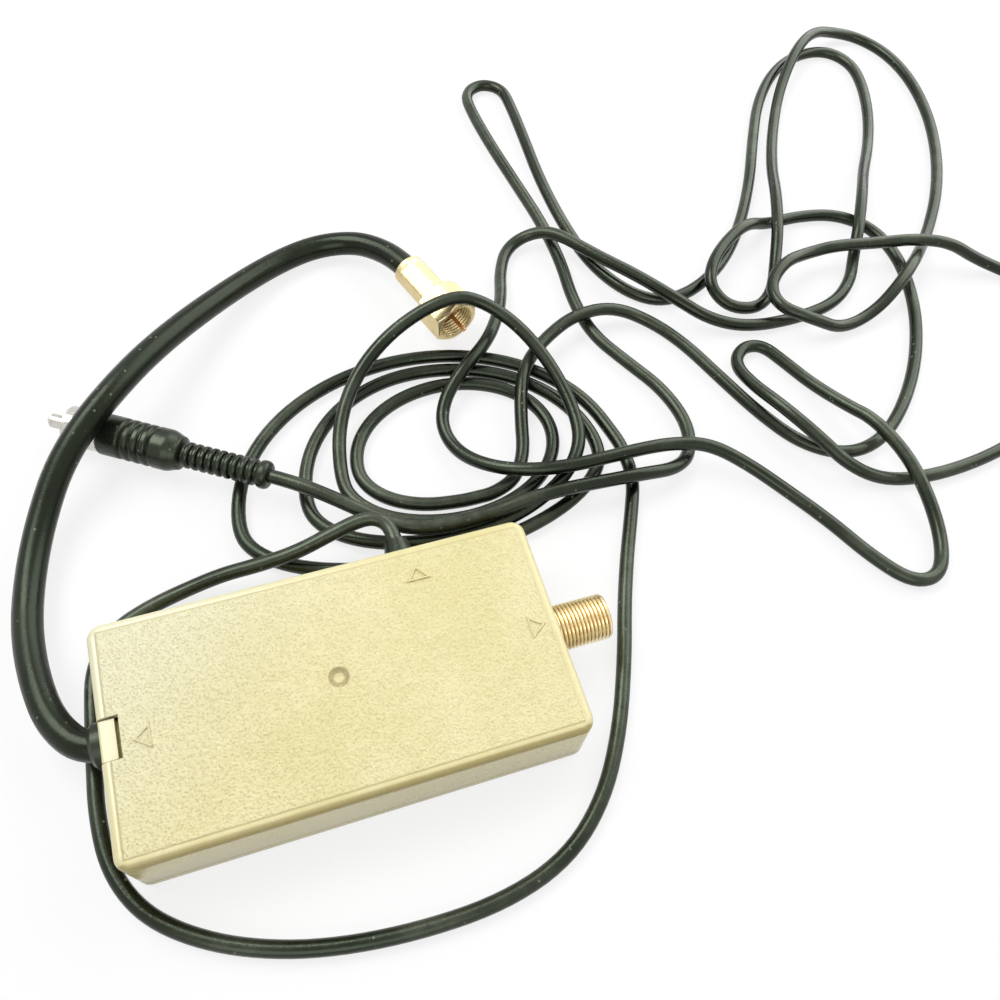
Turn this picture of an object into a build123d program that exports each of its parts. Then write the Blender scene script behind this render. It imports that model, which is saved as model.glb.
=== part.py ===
"""Automatic aerial switch box: a snap-closed plastic case with a screw jack at one end,
a short thick lead to the television at the other, and a long thin lead to the console
that lies in a loose coil and ends in a moulded phono plug. Millimetres, +Z up.
The origin is on the table, under the middle of the case."""

import math
import os

from build123d import *

# Case: two moulded shells that meet at the parting plane
case_length = 87.0
case_width = 46.0
case_height = 17.0
case_wall = 2.0
case_top = 1.7
case_floor = 2.0
case_corner_radius = 2.8
case_edge_radius = 1.5
case_foot_chamfer = 0.6
parting_height = 2.8
seam_chamfer = 0.2
lip_height = 1.5
lip_root = 0.5
lip_thickness = 1.0
dimple_diameter = 4.2
dimple_depth = 0.6
fit_clearance = 0.1
cut_overrun = 1.0

# Latch at the television end: a tongue of the lower shell fills a notch of the upper one
latch_middle_y = 0.3
latch_notch_length = 4.0
latch_notch_width = 8.2
latch_notch_height = 3.7
latch_gap = 0.3
latch_slot = 0.9
latch_block_height = 2.9
latch_bridge_height = 1.2
latch_arm_thickness = 1.4
latch_arm_inset = 3.7
latch_edge_radius = 0.6

# Circuit board on four pegged posts
board_thickness = 1.6
board_gap_left = 9.0
board_gap_right = 4.0
board_gap_side = 2.5
post_diameter = 3.6
post_inset_x = 3.5
post_inset_y = 3.0
peg_diameter = 1.6
peg_rise = 0.8

# Tinplate screening can on the board
can_gap_left = 19.5
can_gap_right = 4.5
can_gap_side = 6.5
can_gap_top = 1.1
can_sheet = 0.4
can_corner_radius = 1.0
can_vent_diameter = 3.0
can_vent_pitch = 15.0
can_vent_count = 3

# Aerial jack, a threaded brass barrel with a sprung centre contact
jack_thread_diameter = 9.525
jack_wall_diameter = 9.2
jack_reach = 11.2
jack_chamfer = 0.5
jack_flange_diameter = 10.2
jack_flange_thickness = 2.0
jack_gap_top = 0.2
jack_neck_diameter = 6.2
jack_neck_reach = 1.6
jack_board_gap = 0.3
jack_bore_diameter = 5.4
jack_contact_diameter = 2.0
jack_contact_bore = 1.2
jack_contact_depth = 9.0
jack_face_recess = 0.5
jack_tail_diameter = 0.8
jack_tail_length = 4.0

# Television lead where it leaves the case
tv_exit_y = 2.5
tv_lead_diameter = 6.0
tv_collar_diameter = 9.0
tv_collar_length = 3.0
tv_collar_edge = 0.8
tv_collar_gap = 0.3
tv_neck_diameter = 8.0
tv_flange_diameter = 9.6
tv_flange_thickness = 1.4
tv_tail_diameter = 3.2
tv_tail_reach = 2.0

# Console lead where it leaves the case
deck_exit_x = 18.0
deck_exit_drop = 0.5
deck_lead_diameter = 3.2
deck_boot_diameter = 7.0
deck_boot_tip = 5.0
deck_boot_length = 5.0
deck_neck_diameter = 5.8
deck_flange_diameter = 7.6
deck_flange_thickness = 1.4
deck_tail_diameter = 2.6
deck_tail_reach = 2.0

# Television plug: crimped ferrule, post and a coupling nut that turns on it
tv_plug_start = (41.0, 104.0, 6.45)
tv_plug_heading = -70.0
ferrule_flats = 7.2
ferrule_length = 12.0
ferrule_cable_depth = 3.0
tv_plug_lead_in = 3.9
ferrule_wall_gap = 0.1
ferrule_ring_diameter = 8.0
ferrule_ring_length = 1.4
nut_flats = 11.1
nut_length = 9.0
nut_chamfer = 0.5
nut_rear_wall = 2.0
nut_thread_diameter = 9.4
nut_running_clearance = 0.05
nut_end_clearance = 0.2
tv_neck_post_diameter = 6.8
tv_shoulder_diameter = 8.6
tv_shoulder_length = 1.2
tv_core_sleeve_diameter = 3.7
tv_core_diameter = 1.0
tv_core_reach = 3.0

# Console plug: a moulded grip with a ribbed tail, and a phono ring and pin
deck_plug_start = (-4.0, 52.5, 7.0)
deck_plug_heading = 146.5
deck_plug_dip = 3.0
deck_plug_lead_in = 7.0
plug_tail_diameter = 4.4
plug_rib_diameter = 6.0
plug_rib_count = 9
plug_rib_pitch = 1.9
plug_rib_share = 0.55
plug_bulb_diameter = 6.4
plug_bulb_length = 2.4
plug_shoulder_length = 3.5
plug_grip_diameter = 9.4
plug_grip_length = 16.0
plug_grip_waist = 7.6
plug_groove_count = 4
plug_groove_width = 1.0
plug_groove_depth = 0.6
plug_groove_pitch = 2.2
plug_groove_start = 3.0
plug_face_round = 0.6
ring_diameter = 8.9
ring_sheet = 0.4
ring_reach = 8.0
ring_seat = 1.2
ring_slot_width = 0.8
ring_slot_length = 6.0
ring_slot_count = 4
plug_pin_diameter = 3.2
plug_pin_root_diameter = 2.4
plug_pin_chamfer = 0.8
plug_pin_reach = 13.5

# Small parts on the board
choke_flange_diameter = 7.0
choke_core_diameter = 3.0
choke_height = 5.6
choke_flange_height = 1.0
choke_winding_diameter = 6.2
disc_diameter = 5.0
disc_thickness = 1.6
disc_lead_width = 0.6
disc_lead_pitch = 2.5
disc_stand = 1.0
axial_lead_width = 0.6
axial_lead_drop = 1.6
diode_diameter = 1.8
diode_length = 3.6
diode_span = 7.6
resistor_diameter = 2.3
resistor_length = 6.0
resistor_span = 10.0
transistor_diameter = 4.6
transistor_height = 4.4
transistor_stand = 1.2
transistor_lead_pitch = 1.27
transistor_flat_share = 0.35

# Places of the small parts, as shares of the can's length and width from its middle
choke_place_share = (-0.32, 0.0)
transistor_place_share = (-0.32, -0.35)
diode_place_shares = ((-0.08, -0.12), (-0.08, 0.12))
disc_place_shares = ((-0.10, 0.34), (0.04, 0.34), (0.14, -0.34), (0.28, -0.34))
resistor_place_shares = ((-0.30, 0.36), (0.22, 0.0), (0.22, 0.16))

# Free leads: sides of their tubes, share of a run that an arc may take, steps in the coil
cord_side_count = 6
tv_cord_side_count = 8
arc_share = 0.45
coil_quarter_count = 4
coil_sample_count = 360
coil_skip_count = 24

# Heights of the openings: the jack hangs under the lid, the television lead under the latch
jack_height = case_height - case_top - jack_gap_top - jack_flange_diameter / 2
notch_bottom = case_height - latch_notch_height
tv_exit_height = notch_bottom - tv_collar_gap - tv_collar_diameter / 2
deck_exit_height = jack_height - deck_exit_drop

# Routes of the leads, chosen by hand. A lead lies on the table at its own half
# diameter and rises over what it crosses.
deck_lie = deck_lead_diameter / 2
deck_hump = 2 * deck_lead_diameter

# Coil behind the case: the right side, top, left side and bottom of each of its four loops.
# The third loop springs up and rests on the television plug's nut.
coil_stations = [
    (76.3, 44, deck_lie), (31.3, 80.5, deck_lie), (-13.7, 44, deck_lie), (29.2, 25.2, deck_lie),
    (71.6, 44, deck_lie), (33.5, 75.8, deck_lie), (1.9, 46, deck_lie), (35, 29.3, deck_lie),
    (67.9, 50, 5), (47.5, 85.5, 15.4), (10.8, 50, deck_lie), (37.3, 33.4, deck_lie),
    (62.3, 52, deck_lie), (38.6, 70.4, deck_lie), (14.9, 52, deck_lie), (36, 38, deck_lie),
]

deck_front_route = [
    (18, 31, deck_exit_height), (16.6, 33.9, 9.7), (13.4, 35.3, 9.8), (7, 34.4, 8.9),
    (-2, 32.8, 6.8), (-10, 32.6, 5.6), (-18, 33, 4.6), (-26, 32.6, 2.6), (-34, 31.2, deck_lie),
    (-41.5, 28, deck_lie), (-46.5, 21, deck_lie), (-47.6, 11, deck_lie), (-48.3, 1.5, deck_lie),
    (-48.9, -8, deck_lie), (-48, -18, deck_lie), (-43.9, -26.6, deck_lie), (-37, -33, deck_lie),
    (-27, -38.6, deck_lie), (-14, -42.8, deck_lie), (2, -45, deck_lie),
    (19, -45, deck_lie), (33, -41.3, deck_lie), (43.5, -33, deck_lie), (51.5, -21, deck_lie),
    (58, -7, deck_lie), (62.3, 4, deck_lie), (67, 14.5, deck_lie), (72, 24.5, deck_lie),
    (75.3, 31.5, deck_lie), (76.3, 36.5, deck_lie),
]

deck_far_route = [
    (43.5, 38, deck_lie), (49.5, 40.4, deck_lie), (53.5, 46.6, deck_lie), (55.3, 54.5, 3.4),
    (57.3, 61.5, 5.3), (61, 68.5, 5.4), (67.8, 74.5, 5.4), (77.5, 79.5, 5.9), (88.5, 80.5, 4.7),
    (98, 75.5, deck_lie), (103.5, 66.5, deck_lie), (108, 54.5, deck_lie), (113, 42, deck_lie),
    (119, 31.5, deck_lie), (128, 25.5, deck_lie), (138.5, 26.5, deck_lie), (149, 34, deck_lie),
    (159, 45, deck_lie), (167, 58, deck_lie), (171.5, 70, deck_lie), (173.5, 81, deck_lie),
    (171.5, 91.5, deck_lie), (164, 98.5, deck_lie), (153, 100.5, deck_lie), (142.5, 99.5, 2),
    (134, 97.5, deck_hump), (126, 93, deck_hump), (119, 87, deck_hump), (115.5, 80.5, 5),
    (119, 74.5, 2.4), (127, 72.5, deck_lie), (133.5, 77, deck_lie), (138, 85.5, 3),
    (142, 94.5, deck_hump), (147, 106, deck_hump), (153, 119, 3), (161, 134, deck_lie),
    (170.5, 149.5, 2.4), (180.5, 161.5, deck_hump), (190.5, 169, deck_hump), (200.5, 171.5, 3),
    (209, 169, deck_lie), (214.5, 160, deck_lie), (216, 147, deck_lie), (213, 130, deck_lie),
    (206, 113, deck_lie), (197.5, 99, deck_lie), (188.5, 88, deck_lie), (181.5, 81, 2.6),
    (174.5, 75, deck_hump), (166.5, 68.5, deck_hump), (157, 63, 3), (146, 60.5, deck_lie),
    (136.5, 62.5, deck_hump), (129.5, 68.5, deck_hump), (130.5, 76, deck_hump),
    (137.5, 81.5, 7.4), (146, 84, 5.6), (154, 83.5, 7), (166, 81.5, 7), (175, 79, 8.7),
    (184, 75.5, 8.7), (192.5, 72, 4), (201, 67, deck_lie), (208.5, 59.5, deck_lie),
]

deck_near_route = [
    (211.5, 49, deck_lie), (208.5, 38.5, deck_lie), (200, 30, deck_lie), (188, 23, deck_lie),
    (174, 18, deck_lie), (159, 15, deck_lie), (145, 14.5, deck_lie), (134, 16.5, deck_lie),
    (126, 21.5, 4), (121, 30, deck_hump), (116.5, 40, deck_hump), (114, 49.5, 3.4),
    (113.3, 57.5, deck_lie), (117.3, 61.9, deck_lie), (122.8, 61.3, deck_lie),
    (126, 55, deck_lie), (130, 46.5, deck_lie), (134, 37, 4), (136.8, 30.5, deck_hump),
    (139.5, 19.5, deck_hump), (140.5, 9, 4), (139, -2, deck_lie), (134, -9.5, deck_lie),
    (127, -9, deck_lie), (121, -0.5, deck_lie), (116, 10, deck_lie), (110, 20, deck_lie),
    (103, 28.5, 3.5), (95, 34.5, deck_hump), (87, 37, deck_hump), (79, 37.4, 6.8),
    (70, 37, 7.4), (61, 37, 7.6), (52, 38.6, 7), (44, 43, 5), (38.5, 50, 2.4),
    (36.8, 58, deck_lie), (39.2, 64.5, 3.6), (45.5, 70.3, 6.2), (53.5, 76.5, 6.2),
    (59, 84.5, 5.6), (62.5, 92.5, 3), (65, 101, deck_lie), (69, 108.5, deck_lie),
    (75.5, 111, 3), (81.5, 107.5, deck_hump), (89.5, 96.7, deck_hump), (97.5, 87.5, deck_hump),
    (104.5, 77.5, deck_hump), (112, 71, 3.5), (122, 67.5, deck_lie), (136, 67, deck_lie),
    (148, 69, deck_lie), (156, 75, deck_lie), (160.5, 82, 2), (164.5, 89.5, deck_hump),
    (171.5, 100.5, deck_hump), (179, 111, 3), (187, 121.5, deck_lie), (194, 134, deck_lie),
    (199, 147, deck_lie), (200.5, 157.5, deck_lie), (195.5, 165, deck_lie),
    (185.5, 165.5, deck_lie), (174, 160, deck_lie), (162.5, 147.5, deck_lie),
    (153.5, 132, deck_lie), (145, 116, deck_lie), (135, 101, deck_lie), (124.5, 89.5, deck_lie),
    (113, 82.5, deck_lie), (102.5, 81, deck_lie), (94.5, 87.5, deck_lie), (89, 99.5, deck_lie),
    (87, 115, deck_lie), (86.5, 132, deck_lie), (87.5, 149, deck_lie), (88, 162, deck_lie),
    (87.8, 170.5, deck_lie), (82, 174, deck_lie), (76.2, 170.5, deck_lie), (76, 162, deck_lie),
    (77.2, 148, deck_lie), (79.2, 133, deck_lie), (81.5, 116, deck_lie), (82, 101, deck_lie),
    (80.5, 88, deck_lie), (81.5, 75.5, deck_lie), (87, 65, deck_lie), (92.5, 55, deck_lie),
    (94.5, 44, deck_lie), (91.5, 35.5, 1.8), (85.5, 31.6, 4.2), (77, 31.2, deck_hump),
    (68, 31.8, deck_hump), (59, 32.2, 6.6), (50, 32, 6.6), (43, 31.5, 5.6), (36, 31.3, 5.1),
    (28, 31.4, 5.1), (22, 32.8, 5.2), (16.5, 36.2, 5.7), (11, 41, 6.6),
]

# The television lead bends round right behind its relief: steps away from it, along the case, down
tv_bend = [(2.7, 0, 0), (5.2, 1, 0), (7.2, 2.8, 0.05), (8.5, 5.2, 0.2)]

tv_route = [
    (-55.7, 15, 7.6), (-56.4, 22, 6.6), (-56.9, 29.5, 5.6), (-56.5, 37.5, 5), (-54.6, 46.7, 5.2),
    (-51.2, 55.8, 7), (-46.3, 64.3, 10.2), (-39.8, 71.2, 13.2), (-33, 78.2, 14), (-25, 87.3, 12.6),
    (-15.2, 97.6, 9.4), (-3.6, 108, 5.8), (8.2, 116, 3.6), (18.5, 119.9, 3), (27, 119.4, 3.6),
    (33.5, 115.8, 5),
]

os.makedirs("parts", exist_ok=True)


# Places worked out from the sizes above
half_length = case_length / 2
half_width = case_width / 2
cavity_length = case_length - 2 * case_wall
cavity_width = case_width - 2 * case_wall
cavity_corner = max(case_corner_radius - case_wall, fit_clearance)
ceiling = case_height - case_top
board_length = cavity_length - board_gap_left - board_gap_right
board_width = cavity_width - 2 * board_gap_side
board_offset_x = (board_gap_left - board_gap_right) / 2
board_top = jack_height - jack_neck_diameter / 2 - jack_board_gap
board_bottom = board_top - board_thickness
post_height = board_bottom - case_floor
post_pitch_x = board_length - 2 * post_inset_x
post_pitch_y = board_width - 2 * post_inset_y
can_length = cavity_length - can_gap_left - can_gap_right
can_width = cavity_width - 2 * can_gap_side
can_offset_x = (can_gap_left - can_gap_right) / 2
can_top = ceiling - can_gap_top
can_height = can_top - board_top
can_right = can_offset_x + can_length / 2
can_left = can_offset_x - can_length / 2
can_back = can_width / 2
standing = (Align.CENTER, Align.CENTER, Align.MIN)


def axis_plane(origin, direction):
    """Plane through an axis: local x runs along the axis, local y is the radius."""
    along = Vector(*direction).normalized()
    return Plane(origin=origin, x_dir=along, z_dir=(along.Y, -along.X, 0))


def cross_plane(origin, direction, distance=0.0):
    """Plane square to an axis, some way along it, with local x straight down."""
    along = Vector(*direction).normalized()
    down = Vector(0, 0, -1) + along * along.Z
    return Plane(origin=Vector(*origin) + along * distance, x_dir=down, z_dir=along)


def rod(origin, direction, start, end, diameter, mode=Mode.ADD):
    """Round bar on an axis, from one distance along it to another."""
    with Locations(cross_plane(origin, direction, start)):
        Cylinder(diameter / 2, end - start, align=standing, mode=mode)


def turned(origin, direction, profile):
    """Solid of revolution: the profile is a closed list of (distance, radius) from the axis."""
    with BuildSketch(axis_plane(origin, direction)) as section:
        with BuildLine():
            Polyline(*profile, close=True)
        make_face()
    revolve(section.sketch, axis=Axis(origin, direction))


def corner_radii(points):
    """The largest tangent arc that each corner of a route has room for."""
    radii = []
    for before, corner, after in zip(points, points[1:], points[2:]):
        run_in = Vector(*corner) - Vector(*before)
        run_out = Vector(*after) - Vector(*corner)
        half_turn = math.radians(run_in.get_angle(run_out)) / 2
        radii.append(arc_share * min(run_in.length, run_out.length) / math.tan(half_turn))
    return radii


def lay_cord(points, diameter, sides):
    """Tube along straight runs joined by tangent arcs. Returns the route."""
    with BuildLine() as route:
        FilletPolyline(*points, radius=corner_radii(points))
    start = Vector(*points[0])
    with BuildSketch(Plane(origin=start, z_dir=Vector(*points[1]) - start)) as section:
        RegularPolygon(diameter / 2, sides)
    sweep(section.sketch, path=route.wires()[0])
    return route.wires()[0]


def report_cord(name, points, part, route, diameter, sides):
    """Prints a tube's tightest arcs, and its volume against its section times its length."""
    section = sides * (diameter / 2) ** 2 * math.sin(2 * math.pi / sides) / 2
    tightest = sorted(round(radius, 1) for radius in corner_radii(points))[:4]
    print(f"{name}: length {route.length:.0f}, tightest radii {tightest},", end=" ")
    print(f"volume over section times length {part.volume / (section * route.length):.4f}")


def midpoint(first, second):
    """Point halfway between two points, where two stretches of one lead meet."""
    return tuple((a + b) / 2 for a, b in zip(first, second))


def finish(builder, label):
    """Names a finished piece and writes it."""
    builder.part.label = label
    export_step(builder.part, f"parts/{label}.step")


# Axes of the openings in the case walls
jack_axis = ((half_length, 0, jack_height), (1, 0, 0))
tv_axis = ((-half_length, tv_exit_y, tv_exit_height), (-1, 0, 0))
deck_axis = ((deck_exit_x, half_width, deck_exit_height), (0, 1, 0))


def cut_wall_openings():
    """Round openings for the jack, the television lead and the console lead."""
    inside = -case_wall - cut_overrun
    for axis, diameter in (
        (jack_axis, jack_thread_diameter),
        (tv_axis, tv_neck_diameter),
        (deck_axis, deck_neck_diameter),
    ):
        rod(*axis, inside, cut_overrun, diameter + 2 * fit_clearance, Mode.SUBTRACT)


def cut_flange_pockets():
    """Room in the lower shell for the flanges that hold the jack and the reliefs."""
    for axis, diameter, thickness in (
        (jack_axis, jack_flange_diameter, jack_flange_thickness),
        (tv_axis, tv_flange_diameter, tv_flange_thickness),
        (deck_axis, deck_flange_diameter, deck_flange_thickness),
    ):
        deep = -case_wall - thickness - 2 * fit_clearance
        rod(*axis, deep, -case_wall, diameter + 2 * fit_clearance, Mode.SUBTRACT)


# Upper shell: deep cover with rounded top edges, a gate dimple and the latch notch
latch_arm_left = -half_length + latch_arm_inset

with BuildPart() as top_shell:
    with BuildSketch(Plane.XY.offset(parting_height)):
        RectangleRounded(case_length, case_width, case_corner_radius)
    extrude(amount=case_height - parting_height)
    fillet(top_shell.faces().sort_by(Axis.Z)[-1].edges(), case_edge_radius)
    chamfer(top_shell.faces().sort_by(Axis.Z)[0].edges(), seam_chamfer)
    with BuildSketch(Plane.XY.offset(parting_height)):
        RectangleRounded(cavity_length, cavity_width, cavity_corner)
    extrude(amount=ceiling - parting_height, mode=Mode.SUBTRACT)
    dimple_radius = (dimple_diameter**2 / 4 + dimple_depth**2) / (2 * dimple_depth)
    with Locations((0, 0, case_height - dimple_depth + dimple_radius)):
        Sphere(dimple_radius, mode=Mode.SUBTRACT)
    with BuildSketch(Plane.XY.offset(notch_bottom)):
        with Locations((-half_length - cut_overrun, latch_middle_y)):
            Rectangle(
                latch_notch_length + cut_overrun,
                latch_notch_width,
                align=(Align.MIN, Align.CENTER),
            )
    extrude(amount=latch_notch_height + cut_overrun, mode=Mode.SUBTRACT)
    cut_wall_openings()
finish(top_shell, "top_shell")

# Lower shell: shallow tray with a locating lip, board posts and the latch tongue
tongue_width = latch_notch_width - 2 * latch_gap
block_bottom = notch_bottom + fit_clearance
block_left = -half_length + fit_clearance
block_right = -half_length + latch_notch_length - latch_slot
arm_right = latch_arm_left + latch_arm_thickness

with BuildPart() as bottom_shell:
    with BuildSketch():
        RectangleRounded(case_length, case_width, case_corner_radius)
    extrude(amount=parting_height)
    chamfer(bottom_shell.faces().sort_by(Axis.Z)[0].edges(), case_foot_chamfer)
    chamfer(bottom_shell.faces().sort_by(Axis.Z)[-1].edges(), seam_chamfer)
    with BuildSketch(Plane.XY.offset(case_floor)):
        RectangleRounded(cavity_length, cavity_width, cavity_corner)
    extrude(amount=parting_height - case_floor, mode=Mode.SUBTRACT)
    lip_length = cavity_length - 2 * fit_clearance
    lip_width = cavity_width - 2 * fit_clearance
    with BuildSketch(Plane.XY.offset(case_floor - lip_root)):
        RectangleRounded(lip_length, lip_width, cavity_corner)
        RectangleRounded(
            lip_length - 2 * lip_thickness,
            lip_width - 2 * lip_thickness,
            cavity_corner,
            mode=Mode.SUBTRACT,
        )
    extrude(amount=lip_root + parting_height - case_floor + lip_height)
    with BuildSketch(Plane.XY.offset(case_floor)):
        with Locations((board_offset_x, 0)):
            with GridLocations(post_pitch_x, post_pitch_y, 2, 2):
                Circle(post_diameter / 2)
    extrude(amount=post_height)
    with BuildSketch(Plane.XY.offset(board_bottom)):
        with Locations((board_offset_x, 0)):
            with GridLocations(post_pitch_x, post_pitch_y, 2, 2):
                Circle(peg_diameter / 2)
    extrude(amount=board_thickness + peg_rise)
    with BuildSketch(Plane.XY.offset(case_floor)):
        with Locations((latch_arm_left, latch_middle_y)):
            Rectangle(latch_arm_thickness, tongue_width, align=(Align.MIN, Align.CENTER))
    extrude(amount=block_bottom + latch_bridge_height - case_floor)
    with BuildSketch(Plane.XY.offset(block_bottom)):
        with Locations((block_left, latch_middle_y)):
            Rectangle(arm_right - block_left, tongue_width, align=(Align.MIN, Align.CENTER))
    extrude(amount=latch_bridge_height)
    with BuildSketch(Plane.XY.offset(block_bottom)):
        with Locations((block_left, latch_middle_y)):
            Rectangle(block_right - block_left, tongue_width, align=(Align.MIN, Align.CENTER))
    extrude(amount=latch_block_height)
    block_top = bottom_shell.faces().sort_by(Axis.Z)[-1]
    fillet(block_top.edges().sort_by(Axis.X)[0], latch_edge_radius)
    cut_wall_openings()
    cut_flange_pockets()
    rod(
        *tv_axis,
        -latch_arm_inset - latch_arm_thickness - cut_overrun,
        -case_wall,
        tv_tail_diameter + 2 * fit_clearance,
        Mode.SUBTRACT,
    )
finish(bottom_shell, "bottom_shell")

# Circuit board with four peg holes
with BuildPart() as circuit_board:
    with BuildSketch(Plane.XY.offset(board_bottom)):
        with Locations((board_offset_x, 0)):
            Rectangle(board_length, board_width)
            with GridLocations(post_pitch_x, post_pitch_y, 2, 2):
                Circle(peg_diameter / 2 + fit_clearance, mode=Mode.SUBTRACT)
    extrude(amount=board_thickness)
finish(circuit_board, "circuit_board")

# Screening can: folded tinplate, open below, with holes for the jack and the two leads
with BuildPart() as shield_can:
    with BuildSketch(Plane.XY.offset(board_top)):
        with Locations((can_offset_x, 0)):
            RectangleRounded(can_length, can_width, can_corner_radius)
    extrude(amount=can_height)
    with BuildSketch(Plane.XY.offset(board_top)):
        with Locations((can_offset_x, 0)):
            RectangleRounded(
                can_length - 2 * can_sheet,
                can_width - 2 * can_sheet,
                can_corner_radius - can_sheet,
            )
    extrude(amount=can_height - can_sheet, mode=Mode.SUBTRACT)
    with BuildSketch(Plane.XY.offset(can_top - can_sheet)):
        with Locations((can_offset_x, 0)):
            with GridLocations(can_vent_pitch, can_vent_pitch, can_vent_count, 1):
                Circle(can_vent_diameter / 2)
    extrude(amount=can_sheet, mode=Mode.SUBTRACT)
    jack_hole_start = can_right - half_length - can_sheet - fit_clearance
    rod(
        *jack_axis,
        jack_hole_start,
        can_right - half_length + fit_clearance,
        jack_neck_diameter + 2 * fit_clearance,
        Mode.SUBTRACT,
    )
    tv_hole_start = -half_length - can_left - can_sheet - fit_clearance
    rod(
        *tv_axis,
        tv_hole_start,
        -half_length - can_left + fit_clearance,
        tv_tail_diameter + 2 * fit_clearance,
        Mode.SUBTRACT,
    )
    deck_hole_start = can_back - half_width - can_sheet - fit_clearance
    rod(
        *deck_axis,
        deck_hole_start,
        can_back - half_width + fit_clearance,
        deck_tail_diameter + 2 * fit_clearance,
        Mode.SUBTRACT,
    )
finish(shield_can, "shield_can")

# Aerial jack: barrel outside the wall, flange behind it, neck into the can
flange_back = -case_wall - fit_clearance - jack_flange_thickness
neck_back = can_right - half_length - jack_neck_reach

with BuildPart() as antenna_jack_body:
    turned(
        *jack_axis,
        [
            (neck_back, 0),
            (neck_back, jack_neck_diameter / 2),
            (flange_back, jack_neck_diameter / 2),
            (flange_back, jack_flange_diameter / 2),
            (-case_wall - fit_clearance, jack_flange_diameter / 2),
            (-case_wall - fit_clearance, jack_wall_diameter / 2),
            (fit_clearance, jack_wall_diameter / 2),
            (fit_clearance, jack_thread_diameter / 2),
            (jack_reach - jack_chamfer, jack_thread_diameter / 2),
            (jack_reach, jack_thread_diameter / 2 - jack_chamfer),
            (jack_reach, 0),
        ],
    )
    rod(
        *jack_axis,
        neck_back - cut_overrun,
        jack_reach + cut_overrun,
        jack_bore_diameter,
        Mode.SUBTRACT,
    )
finish(antenna_jack_body, "antenna_jack_body")

with BuildPart() as antenna_jack_insulator:
    rod(*jack_axis, neck_back, jack_reach - jack_face_recess, jack_bore_diameter)
    rod(
        *jack_axis,
        neck_back - cut_overrun,
        jack_reach,
        jack_contact_diameter,
        Mode.SUBTRACT,
    )
finish(antenna_jack_insulator, "antenna_jack_insulator")

with BuildPart() as antenna_jack_contact:
    rod(*jack_axis, neck_back, jack_reach - 2 * jack_face_recess, jack_contact_diameter)
    rod(*jack_axis, neck_back - jack_tail_length, neck_back, jack_tail_diameter)
    rod(
        *jack_axis,
        jack_reach - jack_contact_depth,
        jack_reach,
        jack_contact_bore,
        Mode.SUBTRACT,
    )
finish(antenna_jack_contact, "antenna_jack_contact")

# Television lead relief: collar outside, neck in the wall, flange inside
tv_flange_front = -case_wall - fit_clearance
tv_flange_back = tv_flange_front - tv_flange_thickness

with BuildPart() as tv_lead_relief:
    turned(
        *tv_axis,
        [
            (tv_flange_back, 0),
            (tv_flange_back, tv_flange_diameter / 2),
            (tv_flange_front, tv_flange_diameter / 2),
            (tv_flange_front, tv_neck_diameter / 2),
            (fit_clearance, tv_neck_diameter / 2),
            (fit_clearance, tv_collar_diameter / 2),
            (tv_collar_length - tv_collar_edge, tv_collar_diameter / 2),
            (tv_collar_length, tv_collar_diameter / 2 - tv_collar_edge),
            (tv_collar_length, 0),
        ],
    )
finish(tv_lead_relief, "tv_lead_relief")

with BuildPart() as tv_lead_inner_end:
    tv_tail_end = -half_length - can_left - tv_tail_reach
    rod(*tv_axis, tv_tail_end, tv_flange_back, tv_tail_diameter)
finish(tv_lead_inner_end, "tv_lead_inner_end")

# Console lead relief: short tapered boot in the back wall
deck_flange_front = -case_wall - fit_clearance
deck_flange_back = deck_flange_front - deck_flange_thickness

with BuildPart() as deck_lead_boot:
    turned(
        *deck_axis,
        [
            (deck_flange_back, 0),
            (deck_flange_back, deck_flange_diameter / 2),
            (deck_flange_front, deck_flange_diameter / 2),
            (deck_flange_front, deck_neck_diameter / 2),
            (fit_clearance, deck_neck_diameter / 2),
            (fit_clearance, deck_boot_diameter / 2),
            (deck_boot_length, deck_boot_tip / 2),
            (deck_boot_length, 0),
        ],
    )
finish(deck_lead_boot, "deck_lead_boot")

with BuildPart() as deck_lead_inner_end:
    deck_tail_end = can_back - half_width - deck_tail_reach
    rod(*deck_axis, deck_tail_end, deck_flange_back, deck_tail_diameter)
finish(deck_lead_inner_end, "deck_lead_inner_end")


def in_can(share):
    """Place on the board from shares of the can's length and width."""
    return can_offset_x + share[0] * can_length, share[1] * can_width


# Choke on the board: a drum core and its winding
choke_place = in_can(choke_place_share)
winding_bottom = board_top + choke_flange_height
winding_height = choke_height - 2 * choke_flange_height

with BuildPart() as choke_core:
    with BuildSketch(Plane.XY.offset(board_top)):
        with Locations(choke_place):
            Circle(choke_flange_diameter / 2)
    extrude(amount=choke_height)
    with BuildSketch(Plane.XY.offset(winding_bottom)):
        with Locations(choke_place):
            Circle(choke_flange_diameter / 2)
            Circle(choke_core_diameter / 2, mode=Mode.SUBTRACT)
    extrude(amount=winding_height, mode=Mode.SUBTRACT)
finish(choke_core, "choke_core")

with BuildPart() as choke_winding:
    with BuildSketch(Plane.XY.offset(winding_bottom)):
        with Locations(choke_place):
            Circle(choke_winding_diameter / 2)
            Circle(choke_core_diameter / 2, mode=Mode.SUBTRACT)
    extrude(amount=winding_height)
finish(choke_winding, "choke_winding")

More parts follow.
